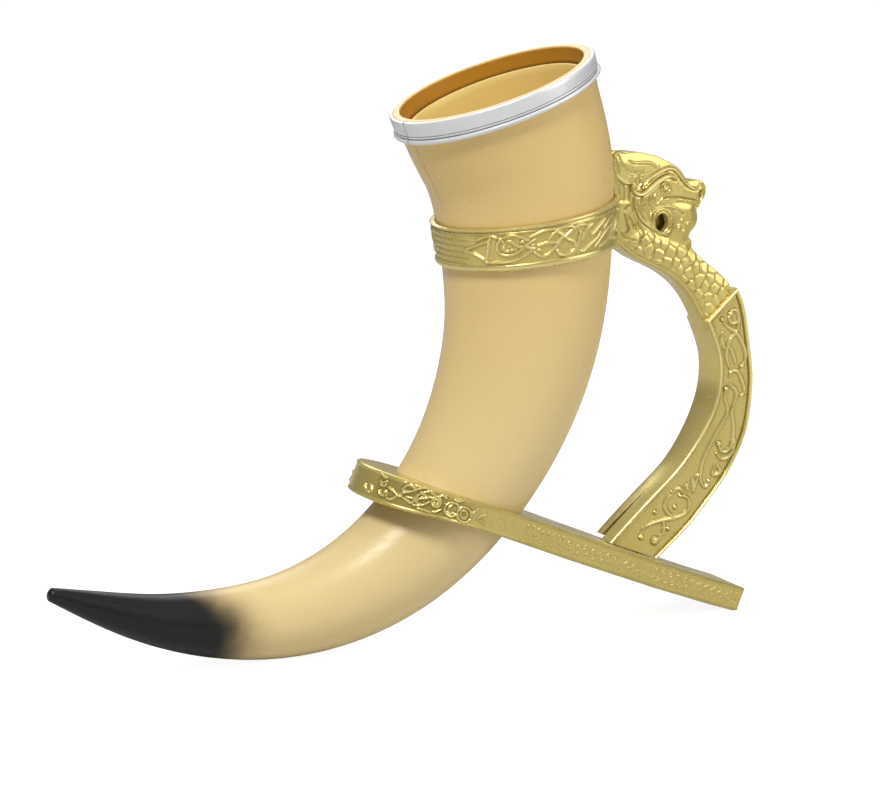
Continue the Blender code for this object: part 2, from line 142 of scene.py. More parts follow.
class Curve:
    # natural cubic spline, with t from 0 to 1
    def __init__(self, pts):
        self.p = np.array(pts, float)
        self.t = lengths(self.p[:, :2])
        self.t /= self.t[-1]
        n, h = len(self.p), np.diff(self.t)
        a, b = np.zeros((n, n)), np.zeros((n, self.p.shape[1]))
        a[0, 0] = a[-1, -1] = 1.0
        for i in range(1, n - 1):
            a[i, i - 1], a[i, i], a[i, i + 1] = h[i - 1], 2 * (h[i - 1] + h[i]), h[i]
            b[i] = 6 * ((self.p[i + 1] - self.p[i]) / h[i] - (self.p[i] - self.p[i - 1]) / h[i - 1])
        self.m = np.linalg.solve(a, b)

    def at(self, t):
        t = np.asarray(t, float)
        i = np.clip(np.searchsorted(self.t, t) - 1, 0, len(self.t) - 2)
        h = (self.t[i + 1] - self.t[i])[..., None]
        u, v = (self.t[i + 1] - t)[..., None], (t - self.t[i])[..., None]
        p, m = self.p, self.m
        return (m[i] * u ** 3 + m[i + 1] * v ** 3) / (6 * h) + (p[i] / h - m[i] * h / 6) * u \
            + (p[i + 1] / h - m[i + 1] * h / 6) * v


def smooth(pts, n):
    return Curve(pts).at(np.linspace(0, 1, n))


axis = Curve(AXIS)


def on_horn(t, phi, off, side=1.0, along=0.0):
    # point on the horn's skin, raised by off; phi 0 faces the handle
    t, phi, off = np.broadcast_arrays(*(np.asarray(q, float) for q in (t, phi, off)))
    c = axis.at(t)
    d = (axis.at(np.minimum(t + 1e-3, 1.0)) - axis.at(np.maximum(t - 1e-3, 0.0)))[..., :2]
    d = d / np.linalg.norm(d, axis=-1, keepdims=True)
    r = c[..., 2] * MOUTH_R + off
    cs, sn = np.cos(phi), np.sin(phi)
    sn = np.where(np.abs(sn) < 1e-9, 0.0, sn)
    return np.stack([c[..., 0] + r * cs * d[..., 1] + along * d[..., 0], side * r * sn,
                     c[..., 1] - r * cs * d[..., 0] + along * d[..., 1]], -1)


def before(t, dist):
    # point on the horn's axis line, dist nearer the tip than t
    c = axis.at(t)
    d = axis.at(t + 1e-3)[:2] - c[:2]
    d /= np.linalg.norm(d)
    return c[0] - dist * d[0], 0.0, c[1] - dist * d[1]


# The horn is set down on the table, and DX carries it to the CAD's place
N_CAD = 46
LOW = min(on_horn(k / N_CAD, 0.0, 0.0)[2] for k in range(N_CAD + 1))
axis = Curve([(x, z - LOW, r) for x, z, r in AXIS])
LENGTH = float(lengths(axis.at(np.linspace(0, 1, 401))[:, :2])[-1])
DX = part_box("horn_left_shell")[0].x / MM - float(before(0.0, TIP_CAP)[0])


def link(name, data):
    ob = bpy.data.objects.new(name, data)
    bpy.context.scene.collection.objects.link(ob)
    return ob


def make(name, verts, faces, mat, cad, relief=None, sharp=35.0):
    # closed mesh in the place of a CAD node; relief is the shade that its material reads
    v = np.asarray(verts, float).reshape(-1, 3) + (DX, 0.0, 0.0)
    v = np.clip(v * MM, *CAD_BOX)
    me = bpy.data.meshes.new(name)
    me.from_pydata(v.tolist(), [], [list(map(int, f)) for f in faces])
    if relief is not None:
        at = me.attributes.new("relief", "FLOAT", "POINT")
        at.data.foreach_set("value", np.asarray(relief, np.float32).ravel())
    me.validate()
    me.materials.append(mat)
    ob = link(name, me)
    bm = bmesh.new()
    bm.from_mesh(me)
    bmesh.ops.remove_doubles(bm, verts=bm.verts, dist=2e-7)
    bmesh.ops.recalc_face_normals(bm, faces=bm.faces)
    bm.to_mesh(me)
    bm.free()
    me.polygons.foreach_set("use_smooth", np.ones(len(me.polygons), bool))
    me.set_sharp_from_angle(angle=math.radians(sharp))
    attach(ob, "root")
    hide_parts(cad)
    return ob


def grid_faces(rows, cols, wrap_r=False, wrap_c=False):
    i, j = np.meshgrid(np.arange(rows if wrap_r else rows - 1),
                       np.arange(cols if wrap_c else cols - 1), indexing="ij")
    i2, j2 = (i + 1) % rows, (j + 1) % cols
    quads = np.stack([i * cols + j, i * cols + j2, i2 * cols + j2, i2 * cols + j], -1)
    return quads.reshape(-1, 4).tolist()


# Relief strokes
def seg_dist(px, py, poly):
    # distance to a polyline, and how far along it the nearest place lies
    best, where = np.full(px.shape, 1e9), np.zeros(px.shape)
    n = len(poly) - 1
    for k in range(n):
        a, b = poly[k], poly[k + 1]
        d = b - a
        l2 = float(d @ d) + 1e-12
        s = unit(((px - a[0]) * d[0] + (py - a[1]) * d[1]) / l2)
        q = np.hypot(px - a[0] - s * d[0], py - a[1] - s * d[1])
        m = q < best
        best = np.where(m, q, best)
        where = np.where(m, (k + s) / n, where)
    return best, where


def add_stroke(h, px, py, poly, width, height, lift=None, taper=False, foot=None):
    # round-topped ridge, or a groove if height is negative, along a polyline;
    # lift scales it along its length, foot takes the hollow beside it
    poly = np.asarray(poly, float)
    lo, hi = poly.min(0) - width * 2.2, poly.max(0) + width * 2.2
    m = (px > lo[0]) & (px < hi[0]) & (py > lo[1]) & (py < hi[1])
    if not m.any():
        return
    d, s = seg_dist(px[m], py[m], poly)
    w = width
    if taper:
        w = width * (np.sqrt(unit(np.sin(np.pi * np.clip(s, 0.02, 0.98)))) * 0.6 + 0.4)
    prof = unit(1 - (d / w) ** 2) ** 0.8
    if foot is not None:
        foot[m] = np.maximum(foot[m], min(1.0, abs(height)) * hump(d - w, 0.16, 0.27))
    k = height if lift is None else height * np.interp(s, np.linspace(0, 1, len(lift)), lift)
    h[m] = (np.maximum if height > 0 else np.minimum)(h[m], prof * k)


def weave(strands, gap):
    # over and under at each crossing, in turn along each strand
    lifts = [np.ones(len(s)) for s in strands]
    turn = [0] * len(strands)
    cross = []
    for i, a in enumerate(strands):
        for j in range(i + 1, len(strands)):
            b = strands[j]
            for k in range(len(a) - 1):
                p, r = a[k], a[k + 1] - a[k]
                q, s = b[:-1], b[1:] - b[:-1]
                den = r[0] * s[:, 1] - r[1] * s[:, 0]
                den = np.where(np.abs(den) < 1e-9, 1e-9, den)
                w = q - p
                t = (w[:, 0] * s[:, 1] - w[:, 1] * s[:, 0]) / den
                u = (w[:, 0] * r[1] - w[:, 1] * r[0]) / den
                for m in np.nonzero((t >= 0) & (t < 1) & (u >= 0) & (u < 1))[0]:
                    cross.append((i, j, p + t[m] * r))
    cross.sort(key=lambda c: c[2][0])
    for i, j, pt in cross:
        under = j if turn[i] % 2 == 0 else i
        turn[i] += 1
        turn[j] += 1
        d = np.hypot(*(strands[under] - pt).T)
        lifts[under] = np.minimum(lifts[under], step(d, gap * 0.55, gap))
    return lifts


# Materials
class Graph:
    # node tree of a material or a world, with short calls for the nodes used here
    def __init__(self, owner):
        owner.use_nodes = True
        self.nt = owner.node_tree

    def feed(self, n, inputs):
        # sets a node's inputs, each by a link, a number or a colour
        for key, v in inputs.items():
            sock = n.inputs[key]
            if isinstance(v, bpy.types.NodeSocket):
                self.nt.links.new(v, sock)
            else:
                sock.default_value = (*v, 1.0) if sock.type == "RGBA" else v
        return n

    def node(self, kind, inputs=None, **settings):
        n = self.nt.nodes.new("ShaderNode" + kind)
        for key, v in settings.items():
            setattr(n, key, v)
        return self.feed(n, inputs or {})

    def noise(self, scale, detail=3.0, rough=0.5, stretch=None):
        co = self.co
        if stretch:
            co = self.node("Mapping", {"Vector": co, "Scale": stretch}).outputs[0]
        return self.node("TexNoise", {"Vector": co, "Scale": scale, "Detail": detail,
                                      "Roughness": rough}).outputs["Fac"]

    def mix(self, fac, a, b):
        return self.node("Mix", {0: fac, 6: a, 7: b}, data_type="RGBA").outputs[2]

    def math(self, op, a, b=0.0):
        return self.node("Math", {0: a, 1: b}, operation=op).outputs[0]

    def ramp(self, src, a, b, lo=0.0, hi=1.0):
        return self.node("MapRange", {0: src, 1: a, 2: b, 3: lo, 4: hi},
                         interpolation_type="SMOOTHSTEP").outputs[0]

    def relief(self):
        return self.node("Attribute", attribute_name="relief").outputs["Fac"]

    def finish(self, col, rough, height, strength, dist):
        b = self.node("Bump", {"Strength": strength, "Distance": dist, "Height": height})
        self.feed(self.nt.nodes["Principled BSDF"],
                  {"Base Color": col, "Roughness": rough, "Normal": b.outputs[0]})


def material(name, rough, metal=0.0, spec=0.5):
    m = bpy.data.materials.new(name)
    g = Graph(m)
    g.feed(g.nt.nodes["Principled BSDF"],
           {"Roughness": rough, "Metallic": metal, "Specular IOR Level": spec})
    g.co = g.node("TexCoord").outputs["Object"]
    return m, g


def cream_material():
    m, g = material("horn_cream", 0.42, spec=0.32)
    x, y, z = g.node("SeparateXYZ", {0: g.co}).outputs
    # painted sheen: lower down the horn is paler and less orange, a painted white reflection;
    # higher up the colour is deeper
    painted_sheen_fade = g.ramp(z, 0.04, 0.19)
    col = g.mix(g.noise(14.0, 4.0),
                g.mix(painted_sheen_fade, (0.715, 0.548, 0.258), (0.75, 0.525, 0.195)),
                g.mix(painted_sheen_fade, (0.765, 0.600, 0.300), (0.81, 0.585, 0.235)))
    fleck = g.ramp(g.noise(420.0, 1.0), 0.80, 0.84, 0.0, 0.6)
    col = g.mix(fleck, col, (0.46, 0.28, 0.09))
    # relief: below 0.5 dirt in the seam; from 0.6 a brown painted shade, slight on the lip and full
    # down the bore; over 1 a dark ring of painted shadow in the gap at the cup's lip
    at = g.relief()
    patch = g.ramp(g.noise(160.0, 2.0), 0.38, 0.56)
    dirt = g.math("MULTIPLY", g.ramp(at, 0.10, 0.42, 0.75, 0.0), patch)
    col = g.mix(dirt, col, (0.36, 0.22, 0.08))
    # painted shade: brown down the bore and a little on the lip
    col = g.mix(g.ramp(at, 0.6, 0.95), col, (0.50, 0.235, 0.022))
    # painted shadow: a dark ring in the gap above the cup's lip
    col = g.mix(g.ramp(at, 1.05, 1.5), col, (0.13, 0.065, 0.010))
    # sprayed black tip with a soft brown edge, which reaches further up the flanks than on top
    wobble = g.math("MULTIPLY", g.math("SUBTRACT", g.noise(55.0), 0.5), 0.011)
    edge = g.math("ADD", g.math("ADD", x, wobble), g.math("MULTIPLY", z, 0.24))
    edge = g.math("SUBTRACT", edge, g.math("MULTIPLY", g.math("ABSOLUTE", y), 0.66))
    soft = g.ramp(edge, -0.091, -0.070, 1.0, 0.0)
    hard = g.ramp(edge, -0.093, -0.078, 1.0, 0.0)
    col = g.mix(g.math("MULTIPLY", soft, 0.6), col, (0.22, 0.14, 0.05))
    black = g.mix(g.noise(900.0, 2.0), (0.005,) * 3, (0.011,) * 3)
    scratch = g.noise(60.0, 4.0, 0.6, (1.0, 9.0, 9.0))
    rough = g.math("ADD", g.ramp(scratch, 0.3, 0.7, 0.27, 0.40), g.math("MULTIPLY", hard, 0.06))
    fine = g.math("ADD", g.math("MULTIPLY", g.noise(700.0, 2.0), 0.5), scratch)
    g.finish(g.mix(hard, col, black), rough, fine, 0.12, 0.0006)
    return m


def gold_material(name, tint=1.0):
    # relief: hollows get a painted shade, raised ridges a painted highlight
    m, g = material(name, 0.36, metal=0.62)
    low, mid, light = (tuple(tint * q for q in c) for c in (
        (0.16, 0.115, 0.022), (0.60, 0.475, 0.140), (0.68, 0.555, 0.180)))
    at = g.relief()
    # painted shade: low relief mixes to the dark colour; painted highlight: high relief to the
    # bright one
    col = g.mix(g.ramp(at, 0.0, 0.45), low, g.mix(g.noise(30.0), mid, light))
    col = g.mix(g.ramp(at, 0.55, 0.95), col, (0.88, 0.76, 0.36))
    g.finish(col, g.ramp(g.noise(90.0), 0.3, 0.7, 0.22, 0.32), g.noise(1400.0, 2.0), 0.10, 0.0004)
    return m


def silver_material():
    m, g = material("rim_silver", 0.30, metal=0.28)
    col = g.mix(g.noise(40.0), (0.72, 0.72, 0.735), (0.78, 0.78, 0.79))
    # dark where relief is low: painted shade in the bead's grooves, and the dark joint
    col = g.mix(g.ramp(g.relief(), 0.05, 0.45, 0.8, 0.0), col, (0.14, 0.14, 0.16))
    g.finish(col, g.ramp(g.noise(120.0), 0.3, 0.7, 0.30, 0.38), g.noise(800.0, 2.0), 0.04, 0.0003)
    return m


def liner_material():
    m, g = material("liner_tan", 0.36)
    col = g.mix(g.noise(22.0, 4.0), (0.89, 0.665, 0.225), (0.92, 0.72, 0.275))
    g.finish(col, g.ramp(g.noise(80.0), 0.3, 0.7, 0.30, 0.44), g.noise(500.0, 2.0), 0.08, 0.0004)
    return m


CREAM, SILVER, TAN = cream_material(), silver_material(), liner_material()
GOLD_C, GOLD_H = gold_material("collar_gold"), gold_material("handle_gold")
GOLD_P = gold_material("plate_gold", 0.98)


# Horn halves, with a fine groove along the parting line
# LIP_TOP, LIP_IN and BORE_SHADE paint shade on the lip and inside the mouth; CUP_SHADOW paints a
# shadow ring at the cup's lip
SKIN, LIP_TOP, LIP_IN, BORE_SHADE, CUP_SHADOW = 0.5, 0.70, 0.75, 1.0, 0.38      # shades for horn_cream
SEAM_W, SEAM_D, SEAM_OPEN = 0.008, 0.04, 0.14


def phi_steps(n, fine):
    fine = np.asarray(fine)
    return np.unique(np.concatenate([np.linspace(0, np.pi, n + 1), fine, np.pi - fine]))


def horn_half(name, side, cad):
    phi = phi_steps(64, [0.004, 0.008, 0.014, 0.022, 0.032])
    n = len(phi)
    crack = hump(np.minimum(phi, np.pi - phi), 0.0, SEAM_W)
    t_out = np.linspace(0, 1.0 - LIP_H / LENGTH, 231)
    r_tip = float(axis.at(0.0)[2]) * MOUTH_R
    rows = [on_horn(0.0, phi, r_tip * (math.cos(a) - 1), side, -TIP_CAP * math.sin(a))
            for a in (1.35, 1.05, 0.7, 0.35)]
    shade = [np.full(n, SKIN)] * len(rows)
    for t in t_out:
        # the seam is rubbed down except above the collar
        show = float(step(t, 0.84, 0.90))
        deep = -(SEAM_D + SEAM_OPEN * show) * crack * min(1.0, t * 12)
        rows.append(on_horn(t, phi, deep, side))
        shade.append(SKIN * (1 - crack * show))
    n_out = len(rows)
    lip = [(0.34, 0.0), (0.16, -0.05), (0.05, -0.18), (0.0, -0.42), (0.0, -1.2),
           (0.0, -WALL + 0.62), (0.09, -WALL + 0.28), (0.30, -WALL + 0.08), (0.60, -WALL)]
    for back, off in lip:
        rows.append(on_horn(1.0, phi, off, side, -back))
        # LIP_TOP and LIP_IN tone the lip towards brown, a painted shade
        shade.append(np.full(n, LIP_TOP if off > -WALL + 0.3 else LIP_IN))
    t_end = next(t for t in t_out if axis.at(t)[2] * MOUTH_R > WALL + BORE_END_R)
    t_in = [t for t in t_out if t >= t_end][::-1]
    rows += [on_horn(t, phi, -WALL, side) for t in t_in]
    cup = 1.0 - LINER_DROP / LENGTH
    # the bore in painted shade, with a painted shadow ring at the cup's lip
    shade += [np.full(n, BORE_SHADE + CUP_SHADOW * hump((t - cup) * LENGTH, 0.0, 0.9)) for t in t_in]
    v = np.array(rows).reshape(-1, 3).tolist()
    tip, end, last = len(v), len(v) + 1, (len(rows) - 1) * n
    v += [before(0.0, TIP_CAP), before(t_end, BORE_POINT)]
    f = grid_faces(len(rows), n)
    f += [(c, k + j, k + j + 1) for c, k in ((tip, 0), (end, last)) for j in range(n - 1)]
    # parting face: strips between outside and bore, then the solid tip
    k_end = n_out - len(t_in)
    for col in (0, n - 1):
        for i in range(len(t_in) - 1):
            a, b = n_out - 1 - i, n_out + len(lip) + i
            f.append((a * n + col, (a - 1) * n + col, (b + 1) * n + col, b * n + col))
        f.append([(n_out - 1 + i) * n + col for i in range(len(lip) + 2)])
    f.append([k * n for k in range(k_end, -1, -1)] + [tip]
             + [k * n + n - 1 for k in range(k_end + 1)] + [last + n - 1, end, last])
    ob = make(name, v, f, CREAM, cad, np.concatenate([np.array(shade).ravel(), [SKIN, BORE_SHADE]]))


horn_half("horn_left", -1, "horn_left_shell")
horn_half("horn_right", 1, "horn_right_shell")


# Silver band with its joint at the front
def rim_band():
    phi = phi_steps(96, [0.004, 0.008, 0.014, 0.022])
    full = np.concatenate([phi, 2 * np.pi - phi[-2:0:-1]])
    joint = hump(full, np.pi, 0.012)
    top, low = 0.12, LIP_H + FIT + BAND_H
    # distance from the lower edge or the top, height over the horn, tone, which is low in the
    # grooves as painted shade
    bead = [(0.0, -0.27, 0.5), (0.0, 0.55, 0.5), (0.10, 1.15, 0.5), (0.30, 1.62, 0.5),
            (0.65, 1.98, 0.5), (1.05, BEAD_T, 0.5), (1.45, 1.95, 0.5), (1.70, 1.60, 0.5),
            (1.82, 1.20, 0.3), (1.90, 0.88, 0.0), (2.04, 0.88, 0.0), (2.16, 1.20, 0.4),
            (2.40, 1.36, 0.5), (2.72, 1.30, 0.5), (2.84, 1.02, 0.1), (2.98, 1.02, 0.1),
            (3.12, BAND_T, 0.5), (3.8, BAND_T, 0.5)]
    edge = [(1.6, BAND_T), (0.7, 1.18), (0.28, 1.06), (0.07, 0.84), (0.0, 0.50), (0.0, -0.27)]
    prof = [(low - q, off, tone) for q, off, tone in bead]
    prof += [(top + q, off, 0.5) for q, off in edge]
    rows, shade = [], []
    for back, off, tone in prof:
        o = FIT + off - (0.75 * joint * min(1.0, off) if off > 0.1 else 0.0)
        rows.append(on_horn(1.0 - back / LENGTH, full, o))
        shade.append(tone * (1 - joint))
    ob = make("rim_band_fine", np.array(rows), grid_faces(len(rows), len(full), True, True), SILVER,
              "rim_band", np.array(shade))


rim_band()


# Inner cup with a rolled lip
def liner():
    full = np.linspace(0, 2 * np.pi, 145)[:-1]
    n = len(full)
    o0 = -WALL - FIT - 0.25
    t0 = next(k for k in range(N_CAD) if axis.at(k / N_CAD)[2] * MOUTH_R
              > WALL + FIT + LINER_T + LINER_END_R) / N_CAD
    t1 = 1.0 - LINER_DROP / LENGTH
    ts = np.linspace(t0, t1, 90)
    rows = [on_horn(t, full, o0) for t in ts[:-1]]
    for back, off in ((0.5, 0.0), (0.15, -0.15), (0.0, -0.45), (0.0, -0.95), (0.15, -1.25),
                      (0.5, -LINER_T)):
        rows.append(on_horn(t1 - back / LENGTH, full, o0 + off))
    rows += [on_horn(t, full, o0 - LINER_T) for t in ts[-2::-1]]
    v = np.array(rows).reshape(-1, 3).tolist()
    a, last = len(v), (len(rows) - 1) * n
    v += [before(t0, LINER_POINT + LINER_T), before(t0, LINER_POINT)]
    f = grid_faces(len(rows), n, False, True)
    f += [(c, k + j, k + (j + 1) % n) for c, k in ((a, 0), (a + 1, last)) for j in range(n)]
    ob = make("inner_cup", v, f, TAN, "inner_liner")


liner()


# Collar halves
tc = float(bisect(lambda t: axis.at(t)[1] < COLLAR_Z, 0.5, 1.0))
hc = COLLAR_H / LENGTH / 2
R_COL = float(axis.at(tc)[2]) * MOUTH_R + FIT + COLLAR_T
COLLAR_DROP = [(0.0, 1.8), (0.78, 1.4), (1.43, 0.65), (np.pi, 0.65)]    # of the lower edge
RIB_PITCH, FLUTE_PITCH, COLLAR_TONE = 2.35, 5.2, 0.46
# interlace strands: u round the collar from the front, v up from its middle line
COLLAR_STRANDS = [
    [(17.2, 3.3), (19.5, 4.3), (22.6, 4.8), (25.1, 4.3), (26.7, 3.1), (28.4, 1.4)],
    [(25.6, 2.4), (26.7, 3.4), (28.8, 4.5), (31.2, 4.8), (33.6, 4.1), (36.1, 2.7), (38.9, -0.4),
     (40.7, -2.0)],
    [(26.7, 3.4), (25.4, 1.4), (25.5, -0.9), (26.9, -2.4), (29.2, -2.9), (32.1, -2.3), (34.4, -0.9),
     (36.6, 0.8), (39.0, 2.2)],
    [(31.6, 1.5), (31.1, 2.2), (29.5, 2.6), (28.0, 1.6), (27.6, 0.1), (28.8, -1.2), (30.8, -0.9)],
    [(30.5, 2.5), (33.2, 0.4), (36.0, -0.4), (39.2, -0.6), (42.0, 0.2)],
    [(34.1, 1.8), (36.1, 2.7), (40.0, 4.4), (43.4, 5.2), (46.6, 5.0), (48.6, 3.8)],
    [(20.5, -5.5), (24.8, -5.6), (28.4, -5.6), (33.0, -4.6), (36.4, -2.6), (39.3, -0.8),
     (42.7, 0.3), (47.3, 0.1)],
    [(37.6, -1.2), (39.0, -2.6), (40.7, -3.9), (42.3, -4.4), (45.5, -2.7), (47.9, -0.2),
     (49.4, 1.6)],
    [(42.6, -0.2), (43.9, 1.4), (47.1, 4.1), (49.5, 4.9), (52.0, 5.2), (54.0, 4.6)],
    [(47.6, 4.0), (49.7, 2.3), (52.2, 0.3), (54.7, -1.4), (55.0, -3.4), (53.2, -4.7), (50.3, -5.1),
     (48.2, -4.4), (47.4, -3.0)],
    [(51.0, 1.6), (53.1, 3.2), (54.8, 4.2), (57.2, 4.8), (59.4, 4.4)],
    [(57.0, 2.2), (56.3, 0.1), (55.6, -2.6), (53.8, -4.3)],
    [(57.4, -0.8), (59.3, 1.6), (60.3, 2.9), (62.4, 3.9)],
    [(58.0, -5.2), (59.8, -4.4), (62.2, -3.0), (65.0, -1.6), (67.0, 0.2)],
    [(12.2, -0.5), (16.6, 1.1), (21.4, 2.8), (22.6, 3.4)],
    [(11.4, -1.1), (14.9, -1.9), (17.6, -3.1), (20.4, -4.8)],
    [(22.2, 3.0), (21.6, -0.8), (20.5, -4.6)], [(62.4, 0.2), (65.2, 1.6), (67.5, 2.9), (70.0, 4.2)],
    [(64.0, -4.6), (66.8, -2.7), (69.7, -0.9), (73.1, 0.8)],
    [(66.6, -5.2), (70.2, -4.2), (74.3, -2.4), (77.0, -0.4)],
    [(69.4, 1.2), (71.8, 2.6), (75.7, 3.9)], [(74.6, 0.6), (77.8, 2.2), (81.6, 3.2)],
    [(75.5, -3.6), (78.6, -1.6), (81.0, 0.8), (84.4, 2.6)],
    [(79.6, 3.4), (82.2, 0.9), (84.7, -1.2), (85.0, -3.4), (83.2, -4.7), (80.3, -5.0),
     (78.4, -4.0)],
    [(84.0, 4.4), (87.5, 2.2), (90.0, -0.6), (92.2, -3.4)],
    [(83.6, -2.6), (86.6, -0.6), (89.5, 2.6), (92.6, 4.4)],
]
COLLAR_STRANDS = [smooth(s, 8 * len(s)) for s in COLLAR_STRANDS]
COLLAR_LIFTS = weave(COLLAR_STRANDS, 1.3)


def collar_half(name, side, cad):
    phi = np.linspace(0, np.pi, 521)
    rise = SADDLE_RISE / LENGTH * unit((math.radians(30) - phi) / math.radians(10))
    mark = tc - hc + COLLAR_SLANT / LENGTH * np.cos(phi)
    high = mark + 2 * hc + rise
    low = mark - np.interp(np.pi - phi, *zip(*COLLAR_DROP)) / LENGTH
    t = low + np.linspace(0, 1, 96)[:, None] * (high - low)
    u = np.broadcast_to((np.pi - phi) * R_COL, t.shape)
    lowd, topd = (t - low) * LENGTH, (high - t) * LENGTH
    vv = (t - mark) * LENGTH - COLLAR_H / 2
    h, foot = np.zeros(t.shape), np.zeros(t.shape)
    for s, l in zip(COLLAR_STRANDS, COLLAR_LIFTS):
        add_stroke(h, u, vv, s, width=0.82, height=0.78, lift=0.3 + 0.7 * l, foot=foot)
    # plain ribs at the front, where the mould parts, fading into the pattern
    fan = 1 - step(u, 8.0, 16.0)
    ribs = sum(hump(vv, 4.8 - RIB_PITCH * k, 0.55) for k in range(6))
    h = np.maximum(h, 0.50 * ribs * fan)
    foot = np.maximum(foot, 0.42 * fan * (1 - unit(ribs * 1.6)) * (vv < 5.0) * (vv > -7.5))
    # upright flutes on the strip behind the head
    flute = 0.5 + 0.5 * np.cos(2 * np.pi * (np.pi * R_COL - u) / FLUTE_PITCH)
    h = np.maximum(h, 0.35 * flute * step(vv, 8.0, 9.5) * (u > 88.0))
    h = h - 0.12 * foot * (h < 0.1)
    # painted highlight on raised strands and ribs, painted shade in the hollows beside them and
    # between the ribs
    tone = unit(COLLAR_TONE + 0.42 * h - 0.40 * foot * unit(1 - h / 0.3))
    # a bead and a line beside it along each edge, and a second line under the top; their tone
    # paints a highlight on the beads and ridges and shade in the lines
    for d, size in ((lowd, 1.35), (topd, 0.7)):
        bead = dome(d - size, size)
        line = hump(d, 2 * size + 0.30, 0.22)
        h = np.maximum(h, bead * COLLAR_BEAD) - 0.16 * line
        tone = np.maximum(tone, COLLAR_TONE + 0.30 * bead) - 0.28 * line
        h = np.where(d < 0.35, h - 0.45 * (0.35 - d) / 0.35, h)
    second = hump(topd, 2.35, 0.42)
    h = np.maximum(h, 0.34 * second)
    tone = np.maximum(tone, COLLAR_TONE + 0.2 * second) - 0.22 * hump(topd, 3.1, 0.24)
    edge = np.minimum(np.minimum(phi, np.pi - phi) * R_COL, 1.0)
    h = h - 0.25 * hump(edge, 0.0, 0.25)
    rows = on_horn(t, phi, FIT + COLLAR_T + h - 0.02, side)
    inner = [on_horn(high - q * (high - low), phi, FIT, side) for q in np.linspace(0, 1, 7)]
    v = np.concatenate([rows, inner], 0)
    nr, nc = v.shape[:2]
    v[:, [0, -1], 1] = 0.0
    rel = np.concatenate([unit(tone), np.full((7, nc), 0.4)], 0)
    f = grid_faces(nr, nc, True, False)
    f += [[i * nc for i in range(nr)], [i * nc + nc - 1 for i in range(nr)]]
    ob = make(name, v, f, GOLD_C, cad, rel)


collar_half("collar_left_fine", -1, "collar_left")
collar_half("collar_right_fine", 1, "collar_right")


# Base plate: s runs up its slope from the straight end, n stands on its top
ct, st = math.cos(math.radians(PLATE_TILT)), math.sin(math.radians(PLATE_TILT))
E_TOP = (PLATE_END_X + PLATE_END_T * st, PLATE_END_T * ct - FOOT_LAND * st * ct)
# the edge's bow and the change of its thickness along s, from the photo
PLATE_BOW = [
    (0.0, 0.0), (15.0, -0.4), (50.0, -0.4), (70.0, 0.0), (90.0, 0.4), (110.0, 0.8), (135.0, 1.2),
    (150.0, 1.0), (160.0, 0.6), (170.0, 0.3), (178.0, 0.0), (190.0, -0.55),
]
PLATE_SWELL = [
    (100.0, 0.0), (135.0, -0.5), (152.0, -0.75), (165.0, -0.8), (175.8, 0.5), (182.6, 1.0),
    (190.0, 1.3),
]
END_STEPS, EDGE_ROWS, EDGE_INSET = 12, 40, 0.55
# UNDER_TONE gives the underside a darker tone, a painted shade
PLATE_TONE, UNDER_TONE = 0.45, 0.35


def on_plate(s, y, n):
    s, y, n = np.broadcast_arrays(*(np.asarray(q, float) for q in (s, y, n)))
    n = n + np.interp(s, *zip(*PLATE_BOW))
    return np.stack([E_TOP[0] - s * ct + n * st, y, E_TOP[1] + s * st + n * ct], -1)


def along_plate(x, z):
    return (E_TOP[0] - x) * ct + (z - E_TOP[1]) * st


def over_plate(x, z):
    return (x - E_TOP[0]) * st + (z - E_TOP[1]) * ct


def hole_loop(level, off, m=180):
    # where the horn, grown by off, goes through a plane of the plate
    phi = np.linspace(0, 2 * np.pi, m + 1)[:-1]

    def below(t):
        p = on_horn(t, phi, off)
        return over_plate(p[..., 0], p[..., 2]) <= level

    p = on_horn(bisect(below, 0.25, 0.9), phi, off)
    return along_plate(p[..., 0], p[..., 2]), p[..., 1]


AT_PLATE = axis.at(bisect(lambda t: over_plate(*axis.at(t)[:2]) < 0, 0.3, 0.9))
S_HORN = float(along_plate(*AT_PLATE[:2]))
NOSE_R = float(AT_PLATE[2]) * MOUTH_R + NOSE_WALL
S_NOSE = S_HORN + NOSE_FWD


def perimeter(pitch):
    # half outline from the nose to the middle of the straight end, on +Y
    turn = math.pi / 2 + math.asin((NOSE_R - PLATE_END_HALF) / S_NOSE)
    q = np.linspace(0, turn, int(NOSE_R * turn / pitch) + 1)
    arc = np.stack([S_NOSE + NOSE_R * np.cos(q), NOSE_R * np.sin(q)], -1)
    end = np.array([0.0, PLATE_END_HALF])
    k = int(np.linalg.norm(end - arc[-1]) / pitch)
    side = arc[-1] + (end - arc[-1]) * np.linspace(0, 1, k + 1)[1:, None]
    tail = np.linspace(PLATE_END_HALF, 0, END_STEPS + 1)[1:]
    return np.concatenate([arc, side, np.stack([np.zeros(END_STEPS), tail], -1)])


